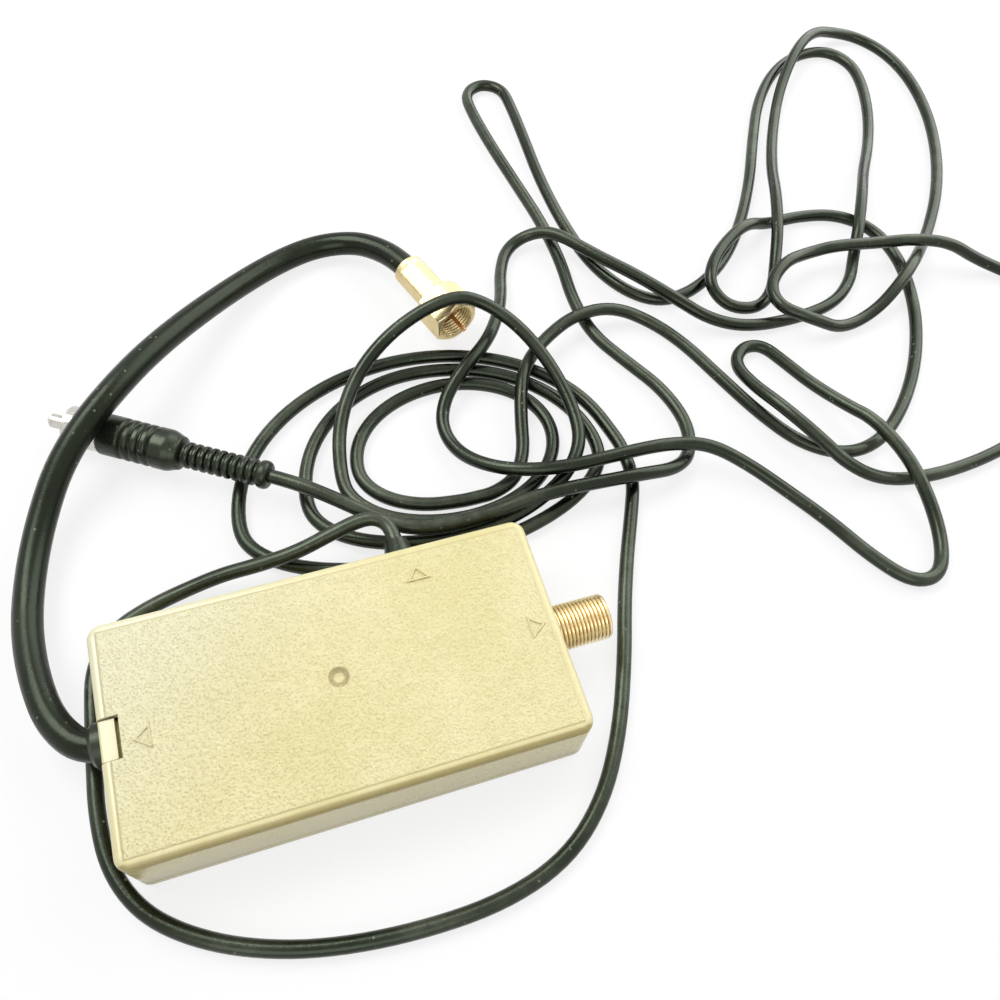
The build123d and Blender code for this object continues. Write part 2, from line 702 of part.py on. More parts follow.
# Disc capacitors, each standing on two leads
with BuildPart() as disc_capacitors:
    for disc_share in disc_place_shares:
        place_x, place_y = in_can(disc_share)
        disc_middle = board_top + disc_stand + disc_diameter / 2
        with BuildSketch(Plane.XZ.offset(-place_y - disc_thickness / 2)):
            with Locations((place_x, disc_middle)):
                Circle(disc_diameter / 2)
        extrude(amount=disc_thickness)
        with BuildSketch(Plane.XY.offset(board_top)):
            with Locations((place_x, place_y)):
                with GridLocations(disc_lead_pitch, disc_lead_pitch, 2, 1):
                    Rectangle(disc_lead_width, disc_lead_width)
        extrude(amount=disc_stand + disc_diameter / 2)
finish(disc_capacitors, "disc_capacitors")


def axial_part(place, diameter, length, span):
    """Round body lying over the board on two bent leads."""
    middle = board_top + axial_lead_drop
    start = (place[0] - span / 2, place[1], middle)
    rod(start, (1, 0, 0), (span - length) / 2, (span + length) / 2, diameter)
    with Locations((*place, middle)):
        Box(span + axial_lead_width, axial_lead_width, axial_lead_width)
    with Locations((*place, board_top)):
        with GridLocations(span, span, 2, 1):
            Box(axial_lead_width, axial_lead_width, axial_lead_drop, align=standing)


with BuildPart() as switching_diodes:
    for diode_share in diode_place_shares:
        axial_part(in_can(diode_share), diode_diameter, diode_length, diode_span)
finish(switching_diodes, "switching_diodes")

with BuildPart() as resistors:
    for resistor_share in resistor_place_shares:
        axial_part(in_can(resistor_share), resistor_diameter, resistor_length, resistor_span)
finish(resistors, "resistors")

# Switching transistor: a round body with one flat, on three leads
transistor_place = in_can(transistor_place_share)

with BuildPart() as switching_transistor:
    with BuildSketch(Plane.XY.offset(board_top + transistor_stand)):
        with Locations(transistor_place):
            Circle(transistor_diameter / 2)
        with Locations((transistor_place[0], transistor_place[1] - transistor_diameter / 2)):
            Rectangle(
                transistor_diameter,
                transistor_diameter * transistor_flat_share,
                align=(Align.CENTER, Align.MIN),
                mode=Mode.SUBTRACT,
            )
    extrude(amount=transistor_height)
    with BuildSketch(Plane.XY.offset(board_top)):
        with Locations(transistor_place):
            with GridLocations(transistor_lead_pitch, transistor_lead_pitch, 3, 1):
                Rectangle(axial_lead_width, axial_lead_width)
    extrude(amount=transistor_stand)
finish(switching_transistor, "switching_transistor")

# Television plug
tv_plug_angle = math.radians(tv_plug_heading)
tv_plug_axis = (tv_plug_start, (math.cos(tv_plug_angle), math.sin(tv_plug_angle), 0))
shank_diameter = tv_lead_diameter
nut_start = ferrule_length + nut_end_clearance
nut_seat = nut_start + nut_rear_wall
shoulder_start = nut_seat + nut_end_clearance
post_end = shoulder_start + tv_shoulder_length
nut_end = nut_start + nut_length

with BuildPart() as tv_plug_ferrule:
    with BuildSketch(cross_plane(*tv_plug_axis)):
        RegularPolygon(ferrule_flats / 2, 6, major_radius=False)
    extrude(amount=ferrule_length)
    rod(*tv_plug_axis, 0, ferrule_ring_length, ferrule_ring_diameter)
    rod(
        *tv_plug_axis,
        -cut_overrun,
        ferrule_length + cut_overrun,
        tv_lead_diameter + 2 * ferrule_wall_gap,
        Mode.SUBTRACT,
    )
finish(tv_plug_ferrule, "tv_plug_ferrule")

with BuildPart() as tv_plug_post:
    turned(
        *tv_plug_axis,
        [
            (ferrule_cable_depth, 0),
            (ferrule_cable_depth, shank_diameter / 2),
            (ferrule_length, shank_diameter / 2),
            (ferrule_length, tv_neck_post_diameter / 2),
            (shoulder_start, tv_neck_post_diameter / 2),
            (shoulder_start, tv_shoulder_diameter / 2),
            (post_end, tv_shoulder_diameter / 2),
            (post_end, 0),
        ],
    )
    rod(
        *tv_plug_axis,
        ferrule_length,
        post_end + cut_overrun,
        tv_core_sleeve_diameter,
        Mode.SUBTRACT,
    )
finish(tv_plug_post, "tv_plug_post")

with BuildPart() as tv_plug_insulator:
    rod(*tv_plug_axis, ferrule_length, post_end, tv_core_sleeve_diameter)
    rod(
        *tv_plug_axis,
        ferrule_length - cut_overrun,
        post_end + cut_overrun,
        tv_core_diameter,
        Mode.SUBTRACT,
    )
finish(tv_plug_insulator, "tv_plug_insulator")

with BuildPart() as tv_plug_pin:
    rod(*tv_plug_axis, ferrule_length, nut_end + tv_core_reach, tv_core_diameter)
finish(tv_plug_pin, "tv_plug_pin")

with BuildPart() as tv_plug_nut:
    with BuildSketch(cross_plane(*tv_plug_axis, nut_start)):
        RegularPolygon(nut_flats / 2, 6, major_radius=False)
    extrude(amount=nut_length)
    rod(
        *tv_plug_axis,
        nut_start - cut_overrun,
        nut_end + cut_overrun,
        tv_neck_post_diameter + 2 * nut_running_clearance,
        Mode.SUBTRACT,
    )
    rod(*tv_plug_axis, nut_seat, nut_end + cut_overrun, nut_thread_diameter, Mode.SUBTRACT)
finish(tv_plug_nut, "tv_plug_nut")

# Console plug: the grip and its ribbed tail are one moulding
plug_turn = math.radians(deck_plug_heading)
plug_fall = math.radians(deck_plug_dip)
deck_plug_direction = (
    math.cos(plug_turn) * math.cos(plug_fall),
    math.sin(plug_turn) * math.cos(plug_fall),
    -math.sin(plug_fall),
)
deck_plug_axis = (deck_plug_start, deck_plug_direction)
ribs_start = plug_bulb_length + plug_rib_pitch * (1 - plug_rib_share)
ribs_end = ribs_start + plug_rib_count * plug_rib_pitch
grip_start = ribs_end + plug_shoulder_length
grip_end = grip_start + plug_grip_length

grip_profile = [
    (0, 0),
    (0, plug_tail_diameter / 2),
    (plug_face_round, plug_bulb_diameter / 2),
    (plug_bulb_length, plug_bulb_diameter / 2),
    (plug_bulb_length, plug_tail_diameter / 2),
]
for rib in range(plug_rib_count):
    rib_place = ribs_start + rib * plug_rib_pitch
    rib_end = rib_place + plug_rib_pitch * plug_rib_share
    next_rib = rib_place + plug_rib_pitch
    grip_profile += [
        (rib_place, plug_rib_diameter / 2),
        (rib_end, plug_rib_diameter / 2),
        ((rib_end + next_rib) / 2, plug_tail_diameter / 2),
    ]
grip_profile += [
    (ribs_end, plug_tail_diameter / 2),
    (ribs_end, plug_grip_waist / 2),
    (grip_start, plug_grip_diameter / 2),
]
for groove in range(plug_groove_count):
    groove_place = grip_start + plug_groove_start + groove * plug_groove_pitch
    groove_bottom = plug_grip_diameter / 2 - plug_groove_depth
    grip_profile += [
        (groove_place, plug_grip_diameter / 2),
        (groove_place + plug_groove_width / 2, groove_bottom),
        (groove_place + plug_groove_width, plug_grip_diameter / 2),
    ]
grip_profile += [
    (grip_end - plug_face_round, plug_grip_diameter / 2),
    (grip_end, plug_grip_diameter / 2 - plug_face_round),
    (grip_end, 0),
]

with BuildPart() as deck_plug_grip:
    turned(*deck_plug_axis, grip_profile)
    rod(*deck_plug_axis, grip_end - ring_seat, grip_end + cut_overrun, ring_diameter, Mode.SUBTRACT)
finish(deck_plug_grip, "deck_plug_grip")

ring_start = grip_end - ring_seat
ring_end = grip_end + ring_reach

with BuildPart() as deck_plug_ring:
    rod(*deck_plug_axis, ring_start, ring_end, ring_diameter)
    rod(
        *deck_plug_axis,
        ring_start - cut_overrun,
        ring_end + cut_overrun,
        ring_diameter - 2 * ring_sheet,
        Mode.SUBTRACT,
    )
    with BuildSketch(cross_plane(*deck_plug_axis, ring_end - ring_slot_length)):
        with PolarLocations(ring_diameter / 2, ring_slot_count):
            Rectangle(ring_diameter / 2, ring_slot_width)
    extrude(amount=ring_slot_length + cut_overrun, mode=Mode.SUBTRACT)
finish(deck_plug_ring, "deck_plug_ring")

with BuildPart() as deck_plug_insulator:
    rod(*deck_plug_axis, ring_start, grip_end, ring_diameter - 2 * ring_sheet)
    rod(
        *deck_plug_axis,
        ring_start - cut_overrun,
        grip_end + cut_overrun,
        plug_pin_root_diameter,
        Mode.SUBTRACT,
    )
finish(deck_plug_insulator, "deck_plug_insulator")

with BuildPart() as deck_plug_pin:
    rod(*deck_plug_axis, ring_start, grip_end, plug_pin_root_diameter)
    rod(*deck_plug_axis, grip_end, grip_end + plug_pin_reach, plug_pin_diameter)
    pin_tip = deck_plug_pin.faces().sort_by(Axis(*deck_plug_axis))[-1]
    chamfer(pin_tip.edges(), plug_pin_chamfer)
finish(deck_plug_pin, "deck_plug_pin")


def coil_route():
    """Points of the coil: quarter ellipses from station to station, in even steps of angle."""
    points = []
    for index, (here, there) in enumerate(zip(coil_stations, coil_stations[1:])):
        for step in range(coil_quarter_count):
            share = step / coil_quarter_count
            ahead, aside = math.sin(share * math.pi / 2), 1 - math.cos(share * math.pi / 2)
            shares = (aside, ahead, share) if index % 2 == 0 else (ahead, aside, share)
            points.append(tuple(a + (b - a) * part for a, b, part in zip(here, there, shares)))
    return [*points, coil_stations[-1]]


# Console lead, coil: it starts and ends with a short straight run, where the next stretch joins
coil_start = tuple(Vector(*coil_stations[0]) - Vector(0, deck_lead_diameter, 0))
coil_end = tuple(Vector(*coil_stations[-1]) + Vector(deck_lead_diameter, 0, 0))
coil_points = [coil_start, *coil_route(), coil_end]

with BuildPart() as deck_lead_coil:
    coil_wire = lay_cord(coil_points, deck_lead_diameter, cord_side_count)
finish(deck_lead_coil, "deck_lead_coil")
report_cord(
    "deck_lead_coil",
    coil_points,
    deck_lead_coil.part,
    coil_wire,
    deck_lead_diameter,
    cord_side_count,
)
coil_samples = [coil_wire @ (step / coil_sample_count) for step in range(coil_sample_count + 1)]
coil_gap = min(
    (first - second).length - deck_lead_diameter
    for i, first in enumerate(coil_samples)
    for second in coil_samples[i + coil_skip_count :]
)
print(f"deck_lead_coil: least gap to itself {coil_gap:.2f}")

# Console lead, free stretches: box to coil, coil to the far loops, near loops to the plug
deck_boot_end = (deck_exit_x, half_width + deck_boot_length, deck_exit_height)
plug_entry = tuple(
    place - way * deck_plug_lead_in for place, way in zip(deck_plug_start, deck_plug_direction)
)
deck_meeting = midpoint(deck_far_route[-1], deck_near_route[0])
deck_front_points = [deck_boot_end, *deck_front_route, coil_start]
deck_far_points = [coil_end, *deck_far_route, deck_meeting]
deck_near_points = [deck_meeting, *deck_near_route, plug_entry, deck_plug_start]

with BuildPart() as deck_lead_front:
    front_wire = lay_cord(deck_front_points, deck_lead_diameter, cord_side_count)
finish(deck_lead_front, "deck_lead_front")
report_cord(
    "deck_lead_front",
    deck_front_points,
    deck_lead_front.part,
    front_wire,
    deck_lead_diameter,
    cord_side_count,
)

with BuildPart() as deck_lead_far_loops:
    far_wire = lay_cord(deck_far_points, deck_lead_diameter, cord_side_count)
finish(deck_lead_far_loops, "deck_lead_far_loops")
report_cord(
    "deck_lead_far_loops",
    deck_far_points,
    deck_lead_far_loops.part,
    far_wire,
    deck_lead_diameter,
    cord_side_count,
)

with BuildPart() as deck_lead_near_loops:
    near_wire = lay_cord(deck_near_points, deck_lead_diameter, cord_side_count)
finish(deck_lead_near_loops, "deck_lead_near_loops")
report_cord(
    "deck_lead_near_loops",
    deck_near_points,
    deck_lead_near_loops.part,
    near_wire,
    deck_lead_diameter,
    cord_side_count,
)
deck_wires = (front_wire, coil_wire, far_wire, near_wire)
print(f"console lead in all: {sum(wire.length for wire in deck_wires):.0f}")

# Television lead: from its relief, over the console plug, into the ferrule
tv_relief_end = (-half_length - tv_collar_length, tv_exit_y, tv_exit_height)
tv_cable_end = tuple(
    place + way * ferrule_cable_depth for place, way in zip(tv_plug_start, tv_plug_axis[1])
)
tv_entry = tuple(
    place - way * tv_plug_lead_in for place, way in zip(tv_plug_start, tv_plug_axis[1])
)
tv_bend_points = [
    (tv_relief_end[0] - away, tv_exit_y + along, tv_exit_height - drop) for away, along, drop in tv_bend
]
tv_points = [tv_relief_end, *tv_bend_points, *tv_route, tv_entry, tv_cable_end]

with BuildPart() as tv_lead:
    tv_wire = lay_cord(tv_points, tv_lead_diameter, tv_cord_side_count)
finish(tv_lead, "tv_lead")
report_cord("tv_lead", tv_points, tv_lead.part, tv_wire, tv_lead_diameter, tv_cord_side_count)
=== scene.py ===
# %% [markdown]
# An aerial switch box on a white table: a flat beige case with a brass screw jack, a short thick
# lead to the television plug and a long thin lead that lies in loose loops. The solids come from
# the imported model, in metres, and this lesson dresses them.

# %% Load the imported model
import math

import bpy
from mathutils import Matrix, Vector


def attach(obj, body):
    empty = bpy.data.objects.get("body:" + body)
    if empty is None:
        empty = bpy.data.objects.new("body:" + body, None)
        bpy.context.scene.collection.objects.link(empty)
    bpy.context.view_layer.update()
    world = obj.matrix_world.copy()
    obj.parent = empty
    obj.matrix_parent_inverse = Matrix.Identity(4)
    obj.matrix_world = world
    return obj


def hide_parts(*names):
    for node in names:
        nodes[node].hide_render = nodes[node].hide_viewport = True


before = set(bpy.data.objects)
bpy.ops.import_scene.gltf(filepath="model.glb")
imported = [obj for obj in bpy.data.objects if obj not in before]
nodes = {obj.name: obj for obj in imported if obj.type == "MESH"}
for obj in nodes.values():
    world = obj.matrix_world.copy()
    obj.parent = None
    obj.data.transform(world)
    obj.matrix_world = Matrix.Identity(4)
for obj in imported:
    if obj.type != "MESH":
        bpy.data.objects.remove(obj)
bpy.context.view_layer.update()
mm = 0.001

# %% [markdown]
# The camera stands where the photograph was taken: in front of the box and well above it, turned a
# little and held slightly crooked. A camera looks along its own -Z axis, so its matrix is written
# from three directions: right, up, and backwards.

# %% Camera
heading = math.radians(24.63)
tilt = math.radians(60.4)
roll = math.radians(7.9)
camera_place = (-0.42 * mm, -61.46 * mm, 190.22 * mm)
look = Vector((
    math.sin(heading) * math.cos(tilt),
    math.cos(heading) * math.cos(tilt),
    -math.sin(tilt),
))
level_right = Vector((math.cos(heading), -math.sin(heading), 0))
level_up = level_right.cross(look)
camera_right = math.cos(roll) * level_right + math.sin(roll) * level_up
camera_up = math.cos(roll) * level_up - math.sin(roll) * level_right
camera = bpy.data.objects.new("photo_camera", bpy.data.cameras.new("photo_camera"))
camera_axes = Matrix((camera_right, camera_up, -look)).transposed()
camera.matrix_world = Matrix.Translation(camera_place) @ camera_axes.to_4x4()
camera.data.lens = 34.4
camera.data.sensor_width = 36
camera.data.clip_start = 0.005
bpy.context.collection.objects.link(camera)
bpy.context.scene.camera = camera
bpy.context.scene.view_settings.view_transform = "Standard"
print("camera", [round(v, 3) for v in camera.matrix_world.translation])

# %% [markdown]
# Nodes are joined by hand in Blender's shader editor. In code, one small helper adds a node, sets
# its options and fills its inputs: a value is typed in, and a socket of another node is linked.
# Three short ones do a sum, mix two colours and change the range of a value. Another finds the rays
# that come from the camera or by way of something shiny or clear.

# %% Helpers for shader nodes
def fill(tree, node, inputs):
    for key, value in inputs.items():
        if isinstance(value, bpy.types.NodeSocket):
            tree.links.new(value, node.inputs[key])
        else:
            node.inputs[key].default_value = value


def add(tree, kind, inputs=None, **options):
    node = tree.nodes.new(kind)
    for key, value in options.items():
        setattr(node, key, value)
    fill(tree, node, inputs or {})
    return node


def maths(tree, operation, first, second=0.0):
    node = add(tree, "ShaderNodeMath", {0: first, 1: second}, operation=operation)
    return node.outputs[0]


def mixed(tree, factor, first, second):
    inputs = {"Factor": factor, 6: first, 7: second}
    return add(tree, "ShaderNodeMix", inputs, data_type="RGBA").outputs[2]


def background_rays(tree):
    rays = add(tree, "ShaderNodeLightPath").outputs
    shiny = maths(tree, "MAXIMUM", rays["Is Glossy Ray"], rays["Is Transmission Ray"])
    return maths(tree, "MAXIMUM", rays["Is Camera Ray"], shiny)


def ranged(tree, value, low, high, to_low=0.0, to_high=1.0):
    inputs = {"Value": value, "From Min": low, "From Max": high, "To Min": to_low, "To Max": to_high}
    return add(tree, "ShaderNodeMapRange", inputs, interpolation_type="SMOOTHSTEP").outputs[0]


# %% [markdown]
# The object lies on a white table under soft light. The floor is a plain diffuse white that takes
# the shadows. For the camera, and in shiny metal, most of it is replaced by an even white, and all
# of it far from the object, so that the background stays white without more light on the object.

# %% White table
table_material = bpy.data.materials.new("white_table")
table_material.use_nodes = True
tree = table_material.node_tree
tree.nodes.clear()
seen = background_rays(tree)
paper = add(tree, "ShaderNodeBsdfDiffuse", {"Color": (0.85, 0.85, 0.85, 1)})
white = add(tree, "ShaderNodeEmission", {"Color": (1, 1, 1, 1), "Strength": 1.0})
spot = add(tree, "ShaderNodeTexCoord").outputs["Object"]
away = add(tree, "ShaderNodeVectorMath", {0: spot}, operation="LENGTH").outputs["Value"]
near_table, far_table = 0.35, 0.9
near_white, far_white = 0.8, 1.0
even = ranged(tree, away, near_table, far_table, near_white, far_white)
shown = add(tree, "ShaderNodeMixShader", {0: maths(tree, "MULTIPLY", seen, even)})
tree.links.new(paper.outputs[0], shown.inputs[1])
tree.links.new(white.outputs[0], shown.inputs[2])
add(tree, "ShaderNodeOutputMaterial", {"Surface": shown.outputs[0]})

table_half = 3.0
table_drop = 0.05 * mm
table_mesh = bpy.data.meshes.new("white_table")
table_corners = [(x * table_half, y * table_half, 0) for x, y in ((-1, -1), (1, -1), (1, 1), (-1, 1))]
table_mesh.from_pydata(table_corners, [], [(0, 1, 2, 3)])
table_mesh.materials.append(table_material)
table = bpy.data.objects.new("white_table", table_mesh)
table.location.z = -table_drop
bpy.context.collection.objects.link(table)
print("table", table_half * 2, "m wide")

# %% [markdown]
# In the photograph a pale sheen lies on the tops of the black leads and on the lid, and their near
# sides are dark, so one large light hangs above and behind the object. A larger one on the right
# draws a broad sheen along the strands. A weaker one fills the front walls, and a dim white world
# keeps the shadows open.

# %% Lights
def soft_light(name, place, aim, size, watts):
    lamp = bpy.data.lights.new(name, "AREA")
    lamp.shape = "RECTANGLE"
    lamp.size, lamp.size_y = size
    lamp.energy = watts
    holder = bpy.data.objects.new(name, lamp)
    holder.location = place
    holder.rotation_euler = (Vector(aim) - Vector(place)).to_track_quat("-Z", "Y").to_euler()
    bpy.context.collection.objects.link(holder)
    print(name, watts, "W")


soft_light("back_softbox", place=(-0.22, 0.33, 0.62), aim=(0.02, 0.03, 0), size=(0.5, 0.36), watts=4.0)
soft_light("front_softbox", place=(-0.25, -0.6, 0.5), aim=(0.0, 0.0, 0), size=(0.6, 0.5), watts=2.0)
soft_light("right_softbox", place=(0.55, 0.3, 0.36), aim=(0.1, 0.05, 0), size=(0.8, 0.6), watts=4.6)

world = bpy.data.worlds.new("white_room")
world.use_nodes = True
bpy.context.scene.world = world
tree = world.node_tree
tree.nodes.clear()
room = add(tree, "ShaderNodeBackground", {"Color": (1, 1, 1, 1), "Strength": 0.2})
backdrop = add(tree, "ShaderNodeBackground", {"Color": (1, 1, 1, 1), "Strength": 1.0})
both = add(tree, "ShaderNodeMixShader", {0: background_rays(tree)})
tree.links.new(room.outputs[0], both.inputs[1])
tree.links.new(backdrop.outputs[0], both.inputs[2])
add(tree, "ShaderNodeOutputWorld", {"Surface": both.outputs[0]})

# %% [markdown]
# A lead is one soft line, so it is one NURBS curve with a round bevel. Its control points are the
# route of the solid model, and the curve runs smoothly between them. The order is set after the
# points are there, or it would stay at straight runs. The thickness is typed as the radius of each
# point, because Blender takes that radius into the curve's box.

# %% Helper for leads
def lead(name, route, diameter):
    curve = bpy.data.curves.new(name, "CURVE")
    curve.dimensions = "3D"
    spline = curve.splines.new("NURBS")
    spline.points.add(len(route) - 1)
    for point, (x, y, z) in zip(spline.points, route):
        point.co = (x * mm, y * mm, z * mm, 1)
        point.radius = diameter / 2
    spline.order_u = 3
    spline.use_endpoint_u = True
    spline.resolution_u = 6
    curve.bevel_depth = 1
    curve.bevel_resolution = 4
    curve.use_fill_caps = True
    piece = bpy.data.objects.new(name, curve)
    bpy.context.collection.objects.link(piece)
    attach(piece, "switch_box")
    print(name, len(route), "points, length", round(spline.calc_length(), 3), "m")
    return piece


# %% [markdown]
# The thin console lead leaves the back wall, runs round the front of the box, winds four loose
# loops behind it, wanders to the right and comes back to its plug. Lying on the table its middle is
# half a diameter up, and it rises over itself in low humps. Sizes are in millimetres here.

# %% Console lead, from the box to the coil
thin = 3.2
lie = thin / 2
hump = 2 * thin
box_to_coil = [
    (18, 28, 9.5), (18, 31, 9.5), (16.6, 33.9, 9.7), (13.4, 35.3, 9.8), (7, 34.4, 8.9),
    (-2, 32.8, 6.8), (-10, 32.6, 5.6), (-18, 33, 4.6), (-26, 32.6, 2.6), (-34, 31.2, lie),
    (-41.5, 28, lie), (-46.5, 21, lie), (-47.6, 11, lie), (-48.3, 1.5, lie), (-48.9, -8, lie),
    (-48, -18, lie), (-43.9, -26.6, lie), (-37, -33, lie), (-27, -38.6, lie), (-14, -42.8, lie),
    (2, -45, lie), (19, -45, lie), (33, -41.3, lie), (43.5, -33, lie), (51.5, -21, lie),
    (58, -7, lie), (62.3, 4, lie), (67, 14.5, lie), (72, 24.5, lie), (75.3, 31.5, lie),
    (76.3, 36.5, lie), (76.3, 40.8, lie),
]
print("box to coil", len(box_to_coil), "points")

# %% [markdown]
# Each loop of the coil is given by four places: its right side, top, left side and bottom. Between
# two of them the lead follows a quarter of an ellipse, in equal steps of angle. The third loop
# springs up over the television plug's nut, so its top is high.

# %% Console lead, the four loops
loop_places = [
    (76.3, 44, lie), (31.3, 80.5, lie), (-13.7, 44, lie), (29.2, 25.2, lie),
    (71.6, 44, lie), (33.5, 75.8, lie), (1.9, 46, lie), (35, 29.3, lie),
    (67.9, 50, 5), (47.5, 85.5, 15.4), (10.8, 50, lie), (37.3, 33.4, lie),
    (62.3, 52, lie), (38.6, 70.4, lie), (14.9, 52, lie), (36, 38, lie),
]
steps_per_quarter = 4
coil = []
for quarter, (here, there) in enumerate(zip(loop_places, loop_places[1:])):
    for step in range(steps_per_quarter):
        share = step / steps_per_quarter
        ahead = math.sin(share * math.pi / 2)
        aside = 1 - math.cos(share * math.pi / 2)
        shares = (aside, ahead, share) if quarter % 2 == 0 else (ahead, aside, share)
        coil.append(tuple(a + (b - a) * part for a, b, part in zip(here, there, shares)))
coil.append(loop_places[-1])
print("coil", len(coil), "points")

# %% [markdown]
# From the coil the lead goes out to the right in wide loops. These points follow the photograph
# one strand at a time, from the coil outwards.

# %% Console lead, the far loops
far_loops = [
    (39.2, 38, lie), (43.5, 38, lie), (49.5, 40.4, lie), (53.5, 46.6, lie), (55.3, 54.5, 3.4),
    (57.3, 61.5, 5.3), (61, 68.5, 5.4), (67.8, 74.5, 5.4), (77.5, 79.5, 5.9), (88.5, 80.5, 4.7),
    (98, 75.5, lie), (103.5, 66.5, lie), (108, 54.5, lie), (113, 42, lie), (119, 31.5, lie),
    (128, 25.5, lie), (138.5, 26.5, lie), (149, 34, lie), (159, 45, lie), (167, 58, lie),
    (171.5, 70, lie), (173.5, 81, lie), (171.5, 91.5, lie), (164, 98.5, lie), (153, 100.5, lie),
    (142.5, 99.5, 2), (134, 97.5, hump), (126, 93, hump), (119, 87, hump), (115.5, 80.5, 5),
    (119, 74.5, 2.4), (127, 72.5, lie), (133.5, 77, lie), (138, 85.5, 3), (142, 94.5, hump),
    (147, 106, hump), (153, 119, 3), (161, 134, lie), (170.5, 149.5, 2.4), (180.5, 161.5, hump),
    (190.5, 169, hump), (200.5, 171.5, 3), (209, 169, lie), (214.5, 160, lie), (216, 147, lie),
    (213, 130, lie), (206, 113, lie), (197.5, 99, lie), (188.5, 88, lie), (181.5, 81, 2.6),
    (174.5, 75, hump), (166.5, 68.5, hump), (157, 63, 3), (146, 60.5, lie), (136.5, 62.5, hump),
    (129.5, 68.5, hump), (130.5, 76, hump), (137.5, 81.5, 7.4), (146, 84, 5.6), (154, 83.5, 7),
    (166, 81.5, 7), (175, 79, 8.7), (184, 75.5, 8.7), (192.5, 72, 4), (201, 67, lie),
    (208.5, 59.5, lie),
]
print("far loops", len(far_loops), "points")

# %% [markdown]
# The last stretch comes back from the right edge, crosses the coil, makes the two tall loops at the
# top and ends straight in the plug's tail. The plug's direction is worked out from its heading and
# the small angle at which it rests with its tip on the table.

# %% Console lead, the near loops and the plug
plug_start = Vector((-4, 52.5, 7))
plug_heading = math.radians(146.5)
plug_dip = math.radians(3.0)
tail_straight = 7
plug_way = Vector((
    math.cos(plug_heading) * math.cos(plug_dip),
    math.sin(plug_heading) * math.cos(plug_dip),
    -math.sin(plug_dip),
))
near_loops = [
    (211.5, 49, lie), (208.5, 38.5, lie), (200, 30, lie), (188, 23, lie), (174, 18, lie),
    (159, 15, lie), (145, 14.5, lie), (134, 16.5, lie), (126, 21.5, 4), (121, 30, hump),
    (116.5, 40, hump), (114, 49.5, 3.4), (113.3, 57.5, lie), (117.3, 61.9, lie),
    (122.8, 61.3, lie), (126, 55, lie), (130, 46.5, lie), (134, 37, 4), (136.8, 30.5, hump),
    (139.5, 19.5, hump), (140.5, 9, 4), (139, -2, lie), (134, -9.5, lie), (127, -9, lie),
    (121, -0.5, lie), (116, 10, lie), (110, 20, lie), (103, 28.5, 3.5), (95, 34.5, hump),
    (87, 37, hump), (79, 37.4, 6.8), (70, 37, 7.4), (61, 37, 7.6), (52, 38.6, 7), (44, 43, 5),
    (38.5, 50, 2.4), (36.8, 58, lie), (39.2, 64.5, 3.6), (45.5, 70.3, 6.2), (53.5, 76.5, 6.2),
    (59, 84.5, 5.6), (62.5, 92.5, 3), (65, 101, lie), (69, 108.5, lie), (75.5, 111, 3),
    (81.5, 107.5, hump), (89.5, 96.7, hump), (97.5, 87.5, hump), (104.5, 77.5, hump),
    (112, 71, 3.5), (122, 67.5, lie), (136, 67, lie), (148, 69, lie), (156, 75, lie),
    (160.5, 82, 2), (164.5, 89.5, hump), (171.5, 100.5, hump), (179, 111, 3), (187, 121.5, lie),
    (194, 134, lie), (199, 147, lie), (200.5, 157.5, lie), (195.5, 165, lie), (185.5, 165.5, lie),
    (174, 160, lie), (162.5, 147.5, lie), (153.5, 132, lie), (145, 116, lie), (135, 101, lie),
    (124.5, 89.5, lie), (113, 82.5, lie), (102.5, 81, lie), (94.5, 87.5, lie), (89, 99.5, lie),
    (87, 115, lie), (86.5, 132, lie), (87.5, 149, lie), (88, 162, lie), (87.8, 170.5, lie),
    (82, 174, lie), (76.2, 170.5, lie), (76, 162, lie), (77.2, 148, lie), (79.2, 133, lie),
    (81.5, 116, lie), (82, 101, lie), (80.5, 88, lie), (81.5, 75.5, lie), (87, 65, lie),
    (92.5, 55, lie), (94.5, 44, lie), (91.5, 35.5, 1.8), (85.5, 31.6, 4.2), (77, 31.2, hump),
    (68, 31.8, hump), (59, 32.2, 6.6), (50, 32, 6.6), (43, 31.5, 5.6), (36, 31.3, 5.1),
    (28, 31.4, 5.1), (22, 32.8, 5.2), (16.5, 36.2, 5.7), (11, 41, 6.6),
    plug_start - tail_straight * plug_way, plug_start,
]
console_lead = lead("console_lead", box_to_coil + coil + far_loops + near_loops, thin * mm)
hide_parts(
    "deck_lead_front", "deck_lead_coil", "deck_lead_far_loops", "deck_lead_near_loops"
)

# %% [markdown]
# The television lead is about twice as thick and much stiffer. It leaves its relief already turning,
# passes over the console plug in one wide arch and goes straight into its crimped ferrule. Its first
# bend is drawn wider than in the solid model, because so thick a lead would kink in a tight one.

